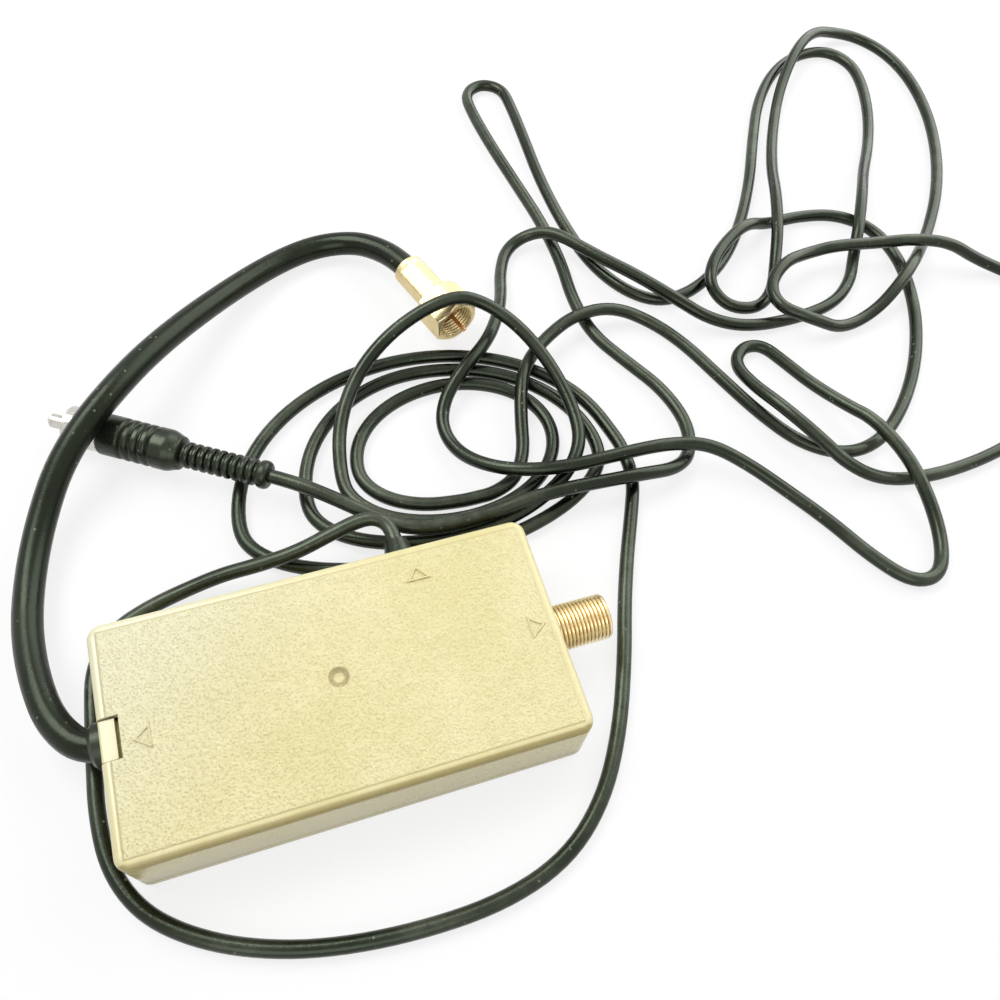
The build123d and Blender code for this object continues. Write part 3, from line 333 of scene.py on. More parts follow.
# %% Television lead
thick = 6.0
tv_plug_start = Vector((41, 104, 6.45))
tv_plug_heading = math.radians(-70)
tv_plug_way = Vector((math.cos(tv_plug_heading), math.sin(tv_plug_heading), 0))
tv_lead_in, tv_lead_depth = 3.9, 3
television_route = [
    (-45.5, 2.3, 8.5), (-48.3, 3.2, 8.5), (-51.4, 6.6, 8.4), (-53.9, 11.5, 8), (-55.4, 17.5, 7.3),
    (-56.4, 24, 6.4), (-56.8, 30.5, 5.6), (-56.4, 37.5, 5), (-54.6, 46.7, 5.2),
    (-51.2, 55.8, 7), (-46.3, 64.3, 10.2), (-39.8, 71.2, 13.2), (-33, 78.2, 14), (-25, 87.3, 12.6),
    (-15.2, 97.6, 9.4), (-3.6, 108, 5.8), (8.2, 116, 3.6), (18.5, 119.9, 3), (27, 119.4, 3.6),
    (33.5, 115.8, 5), tv_plug_start - tv_lead_in * tv_plug_way,
    tv_plug_start + tv_lead_depth * tv_plug_way,
]
television_lead = lead("television_lead", television_route, thick * mm)
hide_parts("tv_lead")

# %% [markdown]
# Turned and moulded pieces are rings along an axis. This helper lays rings at given distances, each
# with its own radius at each angle, and joins them. A radius that changes with the angle gives
# hexagons and screw threads from the same few lines.

# %% Helper for turned pieces
sharp_angle = math.radians(40)


def turned_piece(name, start, way, rings, around, body, hollow):
    along = Vector(way).normalized()
    down = (Vector((0, 0, -1)) + along * along.z).normalized()
    side = along.cross(down)
    angles = [math.tau * k / around for k in range(around)]
    points = []
    for distance, radius in rings:
        for angle in angles:
            reach = radius(distance, angle) if callable(radius) else radius
            spoke = down * math.cos(angle) + side * math.sin(angle)
            points.append((Vector(start) + along * distance + spoke * reach) * mm)
    faces = []
    ring_count = len(rings)
    for ring in range(ring_count if hollow else ring_count - 1):
        here = ring * around
        there = (ring + 1) % ring_count * around
        for k in range(around):
            nxt = (k + 1) % around
            faces.append((here + k, here + nxt, there + nxt, there + k))
    if not hollow:
        faces.append(tuple(reversed(range(around))))
        faces.append(tuple(range((ring_count - 1) * around, ring_count * around)))
    mesh = bpy.data.meshes.new(name)
    mesh.from_pydata(points, [], faces)
    mesh.shade_smooth()
    mesh.set_sharp_from_angle(angle=sharp_angle)
    piece = bpy.data.objects.new(name, mesh)
    bpy.context.collection.objects.link(piece)
    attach(piece, body)
    print(name, len(mesh.vertices), "points")
    return piece


# %% [markdown]
# The aerial jack is a brass barrel with a fine 3/8 inch thread, 32 turns to the inch. A thread is
# a ridge that climbs one pitch per turn, so the radius depends on the distance and the angle
# together. Behind the wall the barrel has a flange and a neck, as in the solid model.

# %% Aerial jack with its thread
thread_pitch = 25.4 / 32
thread_depth = 0.5
thread_start = 0.1
thread_steps, jack_sides = 112, 48
ridge_gain = 1.2
jack_place = (43.5, 0, 10)
jack_radius = 9.525 / 2
jack_reach = 11.2
jack_chamfer = 0.5
jack_bore = 2.7
mouth_radius, mouth_depth = 3.0, 0.3
neck_start, neck_radius = -8.1, 3.1
flange_start, flange_end, flange_radius = -4.1, -2.1, 5.1
collar_radius = 4.6


def thread_ridge(distance, angle):
    turn = (distance / thread_pitch - angle / math.tau) % 1
    return min(1.0, ridge_gain * abs(2 * turn - 1))


def jack_thread(distance, angle):
    cut = thread_depth * (1 - thread_ridge(distance, angle))
    tip = jack_radius - jack_chamfer + max(0.0, jack_reach - distance)
    return min(jack_radius - cut, tip)


jack_rear = [
    (neck_start, neck_radius), (flange_start, neck_radius), (flange_start, flange_radius),
    (flange_end, flange_radius), (flange_end, collar_radius), (thread_start, collar_radius),
]
thread_rows = [
    (thread_start + (jack_reach - thread_start) * k / thread_steps, jack_thread)
    for k in range(thread_steps + 1)
]
jack_mouth = [
    (jack_reach, mouth_radius), (jack_reach - mouth_depth, jack_bore), (neck_start, jack_bore),
]
jack_barrel = turned_piece(
    "jack_barrel", jack_place, (1, 0, 0), jack_rear + thread_rows + jack_mouth,
    jack_sides, "switch_box", hollow=True,
)
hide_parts("antenna_jack_body")

# %% [markdown]
# The television plug's ferrule is a tube that a tool has squeezed into a hexagon. The end where the
# lead goes in was outside the tool, so it keeps its round lip, and the flats start with a soft step.

# %% Crimped ferrule
ferrule_length, ferrule_steps, ferrule_sides = 12, 60, 72
ferrule_flats, ferrule_corner = 7.2, 4.06
ferrule_bore = 3.1
lip_radius, lip_length = 4.0, 1.2
lip_round, lip_round_length = 0.25, 0.3
crimp_step = 0.9


def hexagon(flats, angle):
    return flats / 2 / math.cos(angle % (math.pi / 3) - math.pi / 6)


def ease(value):
    value = min(1.0, max(0.0, value))
    return value * value * (3 - 2 * value)


def crimp(distance, angle):
    squeezed = min(hexagon(ferrule_flats, angle), ferrule_corner)
    lip = lip_radius - lip_round * max(0.0, 1 - distance / lip_round_length) ** 2
    return lip + (squeezed - lip) * ease((distance - lip_length) / crimp_step)


ferrule_rows = [(ferrule_length * k / ferrule_steps, crimp) for k in range(ferrule_steps + 1)]
crimped_ferrule = turned_piece(
    "crimped_ferrule", tv_plug_start, tv_plug_way,
    ferrule_rows + [(ferrule_length, ferrule_bore), (0, ferrule_bore)],
    ferrule_sides, "switch_box", hollow=True,
)
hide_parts("tv_plug_ferrule")

# %% [markdown]
# The coupling nut turns on the plug's post, so it rides on its own body. It is cut from hexagon bar
# with its corners turned off at both ends, and carries an inner thread that starts clear of the
# post's shoulder.

# %% Coupling nut
nut_start, nut_end = 12.2, 21.2
nut_flats = 11.1
nut_face_radius, nut_corner_slope = 5.42, 1.73
nut_thread_radius, nut_thread_depth = 4.7, 0.32
nut_mouth_radius, nut_mouth_depth = 4.9, 0.3
nut_relief_start, nut_seat = 16.0, 14.2
nut_rear_bore = 3.45
nut_row_step, bevel_row_count, thread_row_count = 0.1, 8, 46
nut_sides = 72


def nut_outside(distance, angle):
    inward = min(distance - nut_start, nut_end - distance)
    return min(hexagon(nut_flats, angle), nut_face_radius + nut_corner_slope * inward)


def nut_thread(distance, angle):
    return nut_thread_radius - nut_thread_depth * thread_ridge(distance, angle)


bevel_rows = [nut_row_step * k for k in range(bevel_row_count)]
outside_rows = [nut_start + d for d in bevel_rows] + [nut_end - d for d in reversed(bevel_rows)]
inside_rows = [nut_end - nut_mouth_depth - nut_row_step * k for k in range(thread_row_count)]
nut_rear = [
    (nut_relief_start, nut_thread_radius), (nut_seat, nut_thread_radius),
    (nut_seat, nut_rear_bore), (nut_start, nut_rear_bore),
]
coupling_nut = turned_piece(
    "coupling_nut", tv_plug_start, tv_plug_way,
    [(d, nut_outside) for d in outside_rows] + [(nut_end, nut_mouth_radius)]
    + [(d, nut_thread) for d in inside_rows] + nut_rear,
    nut_sides, "coupling_nut", hollow=True,
)
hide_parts("tv_plug_nut")

# %% [markdown]
# The console plug is one rubber moulding: a round knob where the lead comes out, a tail of nine ribs
# that lets it bend, a shoulder, and a grip with four finger grooves. Every edge is rounded, as soft
# plastic comes from its mould, so the radius is one smooth function of the distance.

# %% Plug grip with its ribbed tail
grip_end, grip_steps, grip_sides = 39.855, 300, 40
tail_radius = 2.2
knob_end, knob_middle, knob_half, knob_rise = 2.9, 1.25, 1.35, 1.0
knob_power, rib_power = 2.6, 3
ribs_start, ribs_end, rib_pitch, rib_rise = 3.255, 20.3, 1.9, 0.8
rib_middle_share, rib_half_share, rib_reach_share = 0.275, 0.36, 0.8
step_length, step_rise = 0.7, 1.6
slope_start, slope_length, slope_rise = 20.7, 3.4, 0.9
groove_count, groove_start, groove_pitch = 4, 27.355, 2.2
groove_depth, groove_half_width = 0.6, 0.34
end_round, end_round_length = 0.6, 0.7
socket_radius, socket_depth = 4.45, 1.2


def grip_radius(distance, angle):
    if distance < knob_end:
        knob = min(1.0, abs(distance - knob_middle) / knob_half)
        return tail_radius + knob_rise * math.sqrt(1 - knob ** knob_power)
    if distance < ribs_end:
        place = ((distance - ribs_start) / rib_pitch) % 1
        rib = max(0.0, 1 - (abs(place - rib_middle_share) / rib_half_share) ** rib_power)
        return tail_radius + rib_rise * math.sqrt(rib if place < rib_reach_share else 0.0)
    shoulder = tail_radius + step_rise * math.sqrt(ease((distance - ribs_end) / step_length))
    shoulder += slope_rise * ease((distance - slope_start) / slope_length)
    for groove in range(groove_count):
        middle = groove_start + groove_pitch * groove
        shoulder -= groove_depth * math.exp(-(((distance - middle) / groove_half_width) ** 2))
    return shoulder - end_round * max(0.0, 1 - (grip_end - distance) / end_round_length) ** 2


grip_rows = [(grip_end * k / grip_steps, grip_radius) for k in range(grip_steps + 1)]
plug_grip = turned_piece(
    "plug_grip", plug_start, plug_way,
    grip_rows + [(grip_end, socket_radius), (grip_end - socket_depth, socket_radius)],
    grip_sides, "switch_box", hollow=False,
)
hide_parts("deck_plug_grip")

# %% [markdown]
# Three small triangles are moulded on the lid, each pointing at the connection beside it. They are
# plain signs, so they keep their place. Each is a raised outline a third of a millimetre high
# with slanted sides, as a mould needs to let it go.

# %% Raised triangles on the lid
triangle_foot, triangle_top = 16.95, 17.3
triangle_levels = [
    (2.6, triangle_foot), (2.38, triangle_top), (1.72, triangle_top), (1.5, triangle_foot),
]
triangle_length, triangle_width = 0.85, 1.1


def triangle_ring(size):
    corners = (0, math.tau / 3, 2 * math.tau / 3)
    return [Vector((math.cos(turn), math.sin(turn), 0)) * size for turn in corners]


def raised_triangle(name, place, turn):
    spin = Matrix.Rotation(math.radians(turn), 4, "Z")
    points = []
    for size, height in triangle_levels:
        for corner in triangle_ring(size):
            flat = spin @ Vector((corner.x * triangle_length, corner.y * triangle_width, 0))
            points.append(Vector((place[0] + flat.x, place[1] + flat.y, height)) * mm)
    faces = []
    level_count = len(triangle_levels)
    for level in range(level_count):
        for k in range(3):
            nxt = (k + 1) % 3
            here, there = level * 3, (level + 1) % level_count * 3
            faces.append((here + k, here + nxt, there + nxt, there + k))
    mesh = bpy.data.meshes.new(name)
    mesh.from_pydata(points, [], faces)
    piece = bpy.data.objects.new(name, mesh)
    bpy.context.collection.objects.link(piece)
    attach(piece, "switch_box")
    return piece


lid_triangles = [
    raised_triangle("console_triangle", (19.6, 16.1), 90),
    raised_triangle("aerial_triangle", (38.6, -0.7), 0),
    raised_triangle("television_triangle", (-35.4, -1.1), 180),
]
print("raised triangles", len(lid_triangles))

# %% [markdown]
# Nothing that has been used is one even colour. This group lays a fine unevenness over a colour:
# large soft patches, and small ones inside them. It also gives the patches as a value, so that the
# gloss can change with them.

# %% Group: uneven colour
def new_group(name, inputs, outputs):
    group = bpy.data.node_groups.new(name, "ShaderNodeTree")
    for label, kind, value in inputs:
        socket = group.interface.new_socket(label, in_out="INPUT", socket_type=kind)
        socket.default_value = value
    for label, kind in outputs:
        group.interface.new_socket(label, in_out="OUTPUT", socket_type=kind)
    start = add(group, "NodeGroupInput")
    end = add(group, "NodeGroupOutput")
    place = add(group, "ShaderNodeTexCoord").outputs["Object"]
    return group, start.outputs, end, place


def noise(tree, place, scale, detail=3.0, rough=0.55):
    inputs = {"Vector": place, "Scale": scale, "Detail": detail, "Roughness": rough}
    return add(tree, "ShaderNodeTexNoise", inputs).outputs[0]


colour, number = "NodeSocketColor", "NodeSocketFloat"
uneven, given, end, place = new_group(
    "uneven_colour",
    [("Colour", colour, (1, 1, 1, 1)), ("Second Colour", colour, (0, 0, 0, 1)), ("Scale", number, 60)],
    [("Colour", colour), ("Patches", number)],
)
times_finer = 9.0
broad_share, fine_share = 0.7, 0.3
broad = noise(uneven, place, given["Scale"])
fine = noise(uneven, place, maths(uneven, "MULTIPLY", given["Scale"], times_finer))
patches = maths(
    uneven, "ADD", maths(uneven, "MULTIPLY", broad, broad_share),
    maths(uneven, "MULTIPLY", fine, fine_share),
)
patches = ranged(uneven, patches, 0.36, 0.64)
fill(uneven, end, {
    "Colour": mixed(uneven, patches, given["Colour"], given["Second Colour"]),
    "Patches": patches,
})
print("group", uneven.name)

# %% [markdown]
# Dust settles on what faces up and shows most on black. This group finds the upward faces from the
# surface's direction, breaks the film up with noise, and adds small pale specks from a cell pattern.
# On the leads the same film is a painted sheen.

# %% Group: settled dust and painted sheen
dust_and_sheen, given, end, place = new_group(
    "dust_and_sheen_group",
    [
        ("Colour", colour, (0, 0, 0, 1)), ("Dust Colour", colour, (0.4, 0.4, 0.35, 1)),
        ("Film", number, 0.2), ("Specks", number, 0.3), ("Speck Scale", number, 900),
    ],
    [("Colour", colour)],
)
facing = add(dust_and_sheen, "ShaderNodeNewGeometry").outputs["Normal"]
upward = ranged(dust_and_sheen, add(dust_and_sheen, "ShaderNodeSeparateXYZ", {0: facing}).outputs["Z"], 0.1, 1.0)
# the film is dust on the case and the rubber, and a painted sheen on the leads
dust_and_sheen_film = ranged(dust_and_sheen, noise(dust_and_sheen, place, 260, 5.0, 0.65), 0.3, 0.7, 0.35, 1.0)
dust_and_sheen_film = maths(dust_and_sheen, "MULTIPLY", maths(dust_and_sheen, "MULTIPLY", upward, dust_and_sheen_film), given["Film"])
cells = add(dust_and_sheen, "ShaderNodeTexVoronoi", {"Vector": place, "Scale": given["Speck Scale"]})
chosen = add(dust_and_sheen, "ShaderNodeSeparateColor", {0: cells.outputs["Color"]}).outputs[0]
speck_edge, speck_middle = 0.3, 0.12
bare_share = 0.93
dots = maths(
    dust_and_sheen, "MULTIPLY", ranged(dust_and_sheen, cells.outputs["Distance"], speck_edge, speck_middle),
    maths(dust_and_sheen, "GREATER_THAN", chosen, bare_share),
)
dots = maths(dust_and_sheen, "MULTIPLY", dots, given["Specks"])
dust_and_sheen_cover = maths(dust_and_sheen, "MAXIMUM", dust_and_sheen_film, dots)
fill(dust_and_sheen, end, {"Colour": mixed(dust_and_sheen, dust_and_sheen_cover, given["Colour"], given["Dust Colour"])})
print("group", dust_and_sheen.name)

# %% [markdown]
# Plated metal is never clean: fine scratches catch the light, and a brown tarnish stays on it in
# stains. The group stretches noise along one direction for the scratches and gives a colour, a
# roughness and a height.

# %% Group: handled metal
handled, given, end, place = new_group(
    "handled_metal",
    [
        ("Colour", colour, (1, 1, 1, 1)), ("Tarnish", colour, (0.3, 0.2, 0.1, 1)),
        ("Amount", number, 0.5), ("Base Roughness", number, 0.3),
    ],
    [("Colour", colour), ("Roughness", number), ("Height", number)],
)
scratch_scale = (300, 2600, 2600)
stretched = add(handled, "ShaderNodeMapping", {"Vector": place, "Scale": scratch_scale}).outputs[0]
scratches = noise(handled, stretched, 1.0, 4.0, 0.7)
stains = ranged(handled, noise(handled, place, 420, 5.0, 0.6), 0.42, 0.72)
stains = maths(handled, "MULTIPLY", stains, given["Amount"])
smoother, rougher = -0.06, 0.22
metal_colour = mixed(handled, stains, given["Colour"], given["Tarnish"])
scratched = ranged(handled, scratches, 0.3, 0.8, smoother, rougher)
fill(handled, end, {
    "Colour": metal_colour,
    "Roughness": maths(handled, "ADD", given["Base Roughness"], scratched),
    "Height": scratches,
})
print("group", handled.name)

# %% [markdown]
# A material is a Principled shader with those groups in front of it. Values that are the same all
# over are typed on the shader itself. These helpers make the material, place a group, join a height
# to the shader's normal through a bump of a real depth, and put the material on its pieces.

# %% Helpers for materials
def new_material(name, **constants):
    material = bpy.data.materials.new(name)
    material.use_nodes = True
    shader = material.node_tree.nodes["Principled BSDF"]
    for key, value in constants.items():
        shader.inputs[key.replace("_", " ")].default_value = value
    return material.node_tree, shader, material


def placed(tree, group, **inputs):
    node = add(tree, "ShaderNodeGroup", node_tree=group)
    fill(tree, node, {key.replace("_", " "): value for key, value in inputs.items()})
    return node.outputs


def bumped(tree, shader, height, depth):
    bump = add(tree, "ShaderNodeBump", {"Height": height, "Distance": depth * mm})
    tree.links.new(bump.outputs[0], shader.inputs["Normal"])


def dress(material, *pieces):
    for piece in pieces:
        thing = nodes[piece] if isinstance(piece, str) else piece
        thing.data.materials.clear()
        thing.data.materials.append(material)
    print(material.name, "on", len(pieces), "pieces")


# %% [markdown]
# The case is moulded from beige plastic. Its lid has a sanded grain like fine leather, and the
# rounded rim and the walls are smooth and half glossy. A picture of the grain could be laid on the
# lid, but a pattern needs no file and stays sharp from near by. The grain is kept on the flat of the
# lid by its own place, and its hollows are darkened as painted shade. The grain and its painted
# shade are a little weaker towards the aerial end. Towards the back left corner the plastic is
# painted paler, a painted sheen.

# %% Case plastic, the grain of the lid
lid_edge_x, lid_flat_x = 41.9 * mm, 41.3 * mm
lid_edge_y, lid_flat_y = 21.4 * mm, 20.8 * mm
grain_foot, grain_top = 16.2 * mm, 16.6 * mm
strong_end, weak_end = -35 * mm, 30 * mm
sheen_reach = 60 * mm
strong_relief, weak_relief, pit_shade = 1.0, 0.7, 0.34
sheen_beige = (0.7, 0.665, 0.45, 1)
shade_brown = (0.36, 0.28, 0.08, 1)
tree, shader, case_plastic = new_material("case_plastic", IOR=1.46)
place = add(tree, "ShaderNodeTexCoord").outputs["Object"]
axes = add(tree, "ShaderNodeSeparateXYZ", {0: place}).outputs
inside_x = ranged(tree, maths(tree, "ABSOLUTE", axes["X"]), lid_edge_x, lid_flat_x)
inside_y = ranged(tree, maths(tree, "ABSOLUTE", axes["Y"]), lid_edge_y, lid_flat_y)
on_lid = maths(tree, "MULTIPLY", ranged(tree, axes["Z"], grain_foot, grain_top), inside_x)
on_lid = maths(tree, "MULTIPLY", on_lid, inside_y)
# the grain and its painted pit shade grow weaker towards the aerial end
grain_strength = ranged(tree, axes["X"], strong_end, weak_end, strong_relief, weak_relief)
grain = maths(tree, "MULTIPLY", on_lid, grain_strength)
pebbles = add(tree, "ShaderNodeTexVoronoi", {"Vector": place, "Scale": 2000.0}, feature="SMOOTH_F1")
sand = maths(tree, "ADD", pebbles.outputs["Distance"], noise(tree, place, 2600, 3.0, 0.6))
tone = placed(
    tree, uneven, Colour=(0.64, 0.575, 0.275, 1), Second_Colour=(0.7, 0.635, 0.35, 1), Scale=45.0
)
# painted shade: the hollows of the grain are darkened
painted_pit_shade = maths(tree, "MULTIPLY", ranged(tree, sand, 1.0, 0.55), maths(tree, "MULTIPLY", grain, pit_shade))
# painted sheen: the plastic is painted paler towards the back left corner
painted_sheen = ranged(tree, maths(tree, "SUBTRACT", axes["Y"], axes["X"]), 0, sheen_reach, 0.0, 1.0)
plastic = mixed(tree, painted_sheen, tone["Colour"], sheen_beige)
grainy = mixed(tree, painted_pit_shade, plastic, shade_brown)
print("grain on the lid,", len(tree.nodes), "nodes so far")

# %% [markdown]
# The walls are painted a little browner and darker than the lid, a painted shade, and a painted
# dark reflection runs along the front rim. The grain ends at a fine line of painted shade inside
# the rim. That line needs no mask of its own: a blend times what it lacks to one is largest
# halfway, and zero at both ends.

# %% Case plastic, the walls and the rim
wall_end, wall_start, wall_shade = 16.5 * mm, 15.6 * mm, 0.65
wall_shade_beige = (0.5, 0.43, 0.17, 1)
reflection_foot, reflection_full = 14.9 * mm, 15.7 * mm
reflection_end, reflection_top, reflection_shade = 16.99 * mm, 16.8 * mm, 0.7
front_inside, front_face = -21.5 * mm, -22 * mm
reflection_brown = (0.3, 0.22, 0.04, 1)
line_foot, line_top, rim_shade_gain = 16.6 * mm, 16.9 * mm, 1.4
# painted shade: the walls below the lid are darkened and browned
painted_wall_shade = ranged(tree, axes["Z"], wall_end, wall_start, 0.0, wall_shade)
walled = mixed(tree, painted_wall_shade, grainy, wall_shade_beige)
# painted dark reflection along the upper front wall and the front of the rim
painted_reflection = maths(
    tree, "MULTIPLY", ranged(tree, axes["Z"], reflection_foot, reflection_full),
    ranged(tree, axes["Z"], reflection_end, reflection_top, 0.0, reflection_shade),
)
painted_reflection = maths(tree, "MULTIPLY", painted_reflection, ranged(tree, axes["Y"], front_inside, front_face))
walled = mixed(tree, painted_reflection, walled, reflection_brown)
# painted shade: a fine dark line where the grain meets the rounded rim
on_top = ranged(tree, axes["Z"], line_foot, line_top)
painted_rim_shade = maths(tree, "MULTIPLY", inside_x, inside_y)
painted_rim_shade = maths(tree, "MULTIPLY", painted_rim_shade, maths(tree, "SUBTRACT", 1.0, painted_rim_shade))
painted_rim_shade = maths(tree, "MULTIPLY", maths(tree, "MULTIPLY", painted_rim_shade, on_top), rim_shade_gain)
walled = mixed(tree, painted_rim_shade, walled, shade_brown)
print("walls and rim,", len(tree.nodes), "nodes so far")

# %% [markdown]
# The round gate mark in the middle of the lid gets a ring of painted shade on its sloping wall,
# and its floor keeps the lid's colour. A little dust lies on top of everything, and the roughness
# changes with the patches of the colour.

# %% Case plastic, the gate mark and the gloss
mark_inside, mark_dark = 0.7 * mm, 1.2 * mm
mark_outside, mark_rim, mark_shade = 2.1 * mm, 1.8 * mm, 0.6
gate_shade_brown = (0.2, 0.14, 0.04, 1)
smooth, rough, lid_rougher = 0.2, 0.28, 0.04
grain_depth = 0.22
flat_place = add(tree, "ShaderNodeMapping", {"Vector": place, "Scale": (1, 1, 0)}).outputs[0]
from_gate = add(tree, "ShaderNodeVectorMath", {0: flat_place}, operation="LENGTH").outputs["Value"]
# painted shade: a dark ring on the gate mark's sloping wall
painted_gate_shade = maths(
    tree, "MULTIPLY", ranged(tree, from_gate, mark_inside, mark_dark),
    ranged(tree, from_gate, mark_outside, mark_rim),
)
painted_gate_shade = maths(tree, "MULTIPLY", painted_gate_shade, maths(tree, "MULTIPLY", on_lid, mark_shade))
marked = mixed(tree, painted_gate_shade, walled, gate_shade_brown)
with_dust_and_sheen = placed(
    tree, dust_and_sheen, Colour=marked, Dust_Colour=(0.84, 0.79, 0.6, 1), Film=0.04, Specks=0.35,
    Speck_Scale=900.0,
)
tree.links.new(with_dust_and_sheen["Colour"], shader.inputs["Base Color"])
satin = ranged(tree, tone["Patches"], 0, 1, smooth, rough)
roughness = maths(tree, "ADD", maths(tree, "MULTIPLY", on_lid, lid_rougher), satin)
tree.links.new(roughness, shader.inputs["Roughness"])
bumped(tree, shader, maths(tree, "MULTIPLY", sand, grain), grain_depth)
dress(case_plastic, "top_shell", "bottom_shell", *lid_triangles)

# %% [markdown]
# Both leads have a black vinyl jacket with a satin gloss and a green cast where light falls on it,
# which is typed as the tint of the shader's reflection. A grey-green film on their upward faces is
# a painted sheen, with a few pale specks of dust. The sheen is painted on some stretches of the
# thin lead and left off others. The thick lead is the blacker one, so its index of refraction is
# lower.

# %% Lead jackets
green_cast = (0.8, 0.95, 0.7, 1)
vinyl_black, vinyl_lighter = (0.0025, 0.003, 0.002, 1), (0.005, 0.007, 0.004, 1)


def lead_jacket(name, dust_and_sheen_film, index):
    tree, shader, material = new_material(name, IOR=index, Specular_Tint=green_cast)
    place = add(tree, "ShaderNodeTexCoord").outputs["Object"]
    tone = placed(tree, uneven, Colour=vinyl_black, Second_Colour=vinyl_lighter, Scale=70.0)
    # painted sheen: a grey-green film in patches on the upward faces
    painted_sheen_patches = ranged(tree, noise(tree, place, 24, 2.0), 0.42, 0.6, 0.0, dust_and_sheen_film)
    with_dust_and_sheen = placed(
        tree, dust_and_sheen, Colour=tone["Colour"], Dust_Colour=(0.34, 0.38, 0.28, 1), Film=painted_sheen_patches,
        Specks=0.35, Speck_Scale=800.0,
    )
    tree.links.new(with_dust_and_sheen["Colour"], shader.inputs["Base Color"])
    tree.links.new(ranged(tree, tone["Patches"], 0, 1, 0.2, 0.32), shader.inputs["Roughness"])
    bumped(tree, shader, noise(tree, place, 900, 4.0), 0.04)
    return material


console_jacket = lead_jacket("console_jacket", dust_and_sheen_film=0.16, index=1.45)
dress(console_jacket, console_lead)
television_jacket = lead_jacket("television_jacket", dust_and_sheen_film=0.02, index=1.36)
dress(television_jacket, television_lead)

# %% [markdown]
# The reliefs and the plug's grip are softer black rubber, a little rougher than the leads. Small
# hard pieces of black plastic are duller and a little greyer.

# %% Black rubber and black plastic
def black_moulding(name, dark, lighter, smooth, rough, dust_and_sheen_film):
    tree, shader, material = new_material(name, IOR=1.45, Specular_Tint=green_cast)
    place = add(tree, "ShaderNodeTexCoord").outputs["Object"]
    tone = placed(tree, uneven, Colour=dark, Second_Colour=lighter, Scale=120.0)
    with_dust_and_sheen = placed(
        tree, dust_and_sheen, Colour=tone["Colour"], Dust_Colour=(0.36, 0.37, 0.29, 1), Film=dust_and_sheen_film, Specks=0.3,
        Speck_Scale=900.0,
    )
    tree.links.new(with_dust_and_sheen["Colour"], shader.inputs["Base Color"])
    satin = ranged(tree, tone["Patches"], 0, 1, smooth, rough)
    tree.links.new(satin, shader.inputs["Roughness"])
    bumped(tree, shader, noise(tree, place, 1400, 4.0), 0.04)
    return material


rubber = black_moulding(
    "black_rubber", dark=(0.004, 0.0045, 0.0035, 1), lighter=(0.008, 0.011, 0.007, 1),
    smooth=0.22, rough=0.34, dust_and_sheen_film=0.03,
)
dress(rubber, plug_grip, "tv_lead_relief", "deck_lead_boot")
hard_black = black_moulding(
    "black_plastic", dark=(0.01, 0.01, 0.01, 1), lighter=(0.02, 0.02, 0.02, 1),
    smooth=0.3, rough=0.42, dust_and_sheen_film=0.04,
)
dress(hard_black, "switching_transistor", "deck_plug_insulator")

# %% [markdown]
# The screw jack and the television plug are brass with a thin plating that has gone dull and
# yellow. The phono ring and pin are nickel, the screening can is tinplate, and the wires are
# copper. They differ in colour, tarnish and gloss, and share one group. The jack's thread keeps
# its tarnish in the grooves, which lie closer to the jack's axis than the crests.

# %% Metals
groove_edge, groove_floor, groove_shade = 4.65 * mm, 4.3 * mm, 0.75


def jack_grooves(tree):
    place = add(tree, "ShaderNodeTexCoord").outputs["Object"]
    spoke = add(tree, "ShaderNodeMapping", {
        "Vector": place, "Location": (0, 0, -jack_place[2] * mm), "Scale": (0, 1, 1),
    }).outputs[0]
    from_axis = add(tree, "ShaderNodeVectorMath", {0: spoke}, operation="LENGTH").outputs["Value"]
    return ranged(tree, from_axis, groove_edge, groove_floor, 0.0, groove_shade)


def metal(name, bright, tarnish, amount, rough, depth, grooves=None):
    tree, shader, material = new_material(name, Metallic=1.0)
    worn = placed(tree, handled, Colour=bright, Tarnish=tarnish, Amount=amount, Base_Roughness=rough)
    shade = mixed(tree, grooves(tree), worn["Colour"], tarnish) if grooves else worn["Colour"]
    tree.links.new(shade, shader.inputs["Base Color"])
    tree.links.new(worn["Roughness"], shader.inputs["Roughness"])
    bumped(tree, shader, worn["Height"], depth)
    return material


jack_brass = metal(
    "jack_brass", bright=(0.96, 0.86, 0.58, 1), tarnish=(0.36, 0.19, 0.05, 1),
    amount=0.15, rough=0.28, depth=0.006, grooves=jack_grooves,
)
dress(jack_brass, jack_barrel)
brass = metal(
    "plated_brass", bright=(0.74, 0.61, 0.34, 1), tarnish=(0.42, 0.27, 0.1, 1),
    amount=0.3, rough=0.36, depth=0.008,
)
dress(brass, crimped_ferrule, coupling_nut, "tv_plug_post", "antenna_jack_contact")
nickel = metal(
    "nickel", bright=(0.62, 0.6, 0.55, 1), tarnish=(0.36, 0.33, 0.27, 1),
    amount=0.6, rough=0.16, depth=0.012,
)
dress(nickel, "deck_plug_ring", "deck_plug_pin")
tinplate = metal(
    "tinplate", bright=(0.66, 0.67, 0.68, 1), tarnish=(0.42, 0.41, 0.38, 1),
    amount=0.5, rough=0.32, depth=0.02,
)
dress(tinplate, "shield_can")
copper = metal(
    "copper", bright=(0.76, 0.4, 0.2, 1), tarnish=(0.4, 0.18, 0.08, 1),
    amount=0.45, rough=0.22, depth=0.02,
)
dress(copper, "choke_winding", "tv_plug_pin")

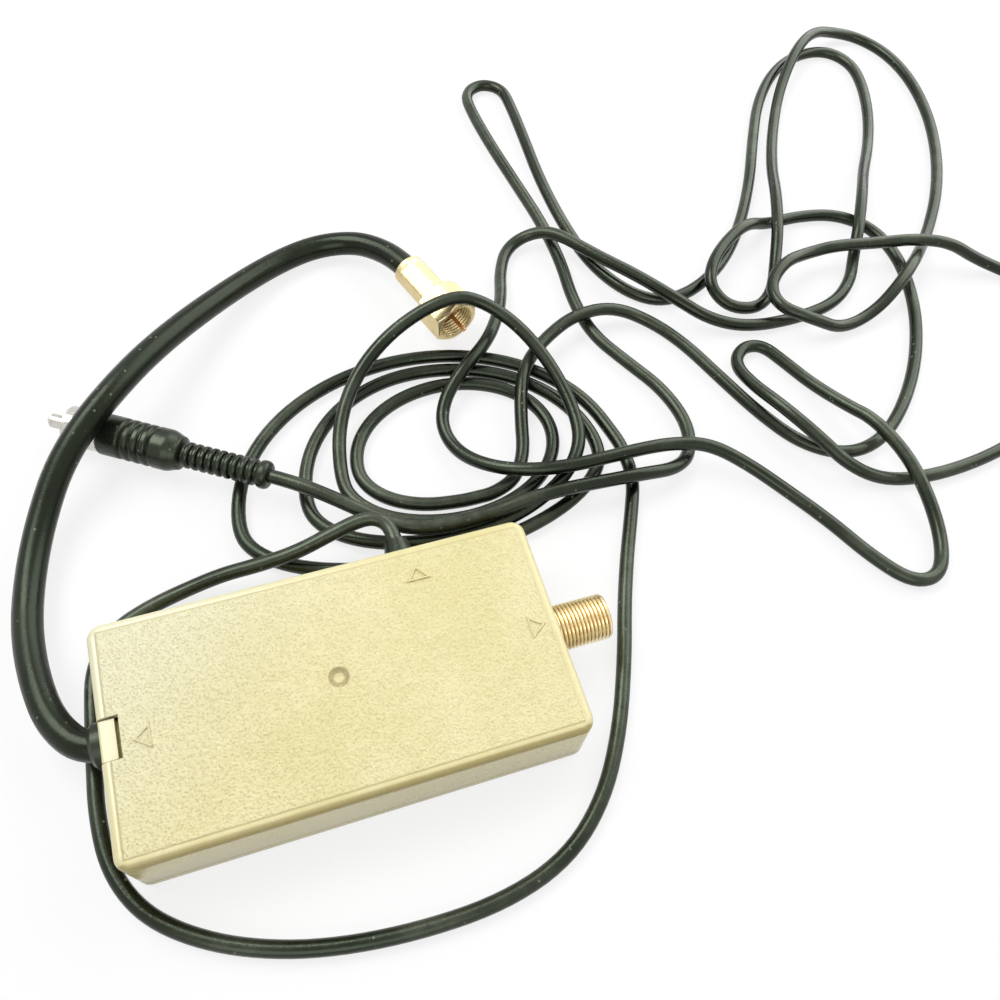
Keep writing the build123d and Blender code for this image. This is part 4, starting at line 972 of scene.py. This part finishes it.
# %% [markdown]
# The pieces inside are closed in, but someone may open the case. Each has the finish of its kind:
# brown paper board, white plastic, dull ferrite, dipped capacitors and resistors, and glass diodes.

# %% Small parts inside
def dipped(name, first, second, scale, smooth, rough, depth):
    tree, shader, material = new_material(name, IOR=1.5)
    place = add(tree, "ShaderNodeTexCoord").outputs["Object"]
    tone = placed(tree, uneven, Colour=first, Second_Colour=second, Scale=scale)
    tree.links.new(tone["Colour"], shader.inputs["Base Color"])
    satin = ranged(tree, tone["Patches"], 0, 1, smooth, rough)
    tree.links.new(satin, shader.inputs["Roughness"])
    bumped(tree, shader, noise(tree, place, scale * 8, 3.0), depth)
    return material


paper_board = dipped(
    "paper_board", first=(0.36, 0.23, 0.09, 1), second=(0.47, 0.33, 0.16, 1),
    scale=160.0, smooth=0.4, rough=0.55, depth=0.03,
)
dress(paper_board, "circuit_board")
white_plastic = dipped(
    "white_plastic", first=(0.8, 0.78, 0.72, 1), second=(0.87, 0.86, 0.82, 1),
    scale=200.0, smooth=0.34, rough=0.46, depth=0.02,
)
dress(
    white_plastic, "antenna_jack_insulator", "tv_plug_insulator", "tv_lead_inner_end",
    "deck_lead_inner_end",
)
ferrite = dipped(
    "ferrite", first=(0.05, 0.05, 0.055, 1), second=(0.1, 0.1, 0.105, 1),
    scale=500.0, smooth=0.6, rough=0.8, depth=0.05,
)
dress(ferrite, "choke_core")
capacitor_coat = dipped(
    "capacitor_coat", first=(0.6, 0.3, 0.08, 1), second=(0.74, 0.44, 0.15, 1),
    scale=300.0, smooth=0.3, rough=0.42, depth=0.03,
)
dress(capacitor_coat, "disc_capacitors")
diode_glass = dipped(
    "diode_glass", first=(0.5, 0.13, 0.05, 1), second=(0.64, 0.24, 0.1, 1),
    scale=300.0, smooth=0.06, rough=0.14, depth=0.01,
)
dress(diode_glass, "switching_diodes")
resistor_coat = dipped(
    "resistor_coat", first=(0.66, 0.5, 0.3, 1), second=(0.78, 0.64, 0.44, 1),
    scale=300.0, smooth=0.3, rough=0.44, depth=0.02,
)
dress(resistor_coat, "resistors")
print("materials", len(bpy.data.materials))
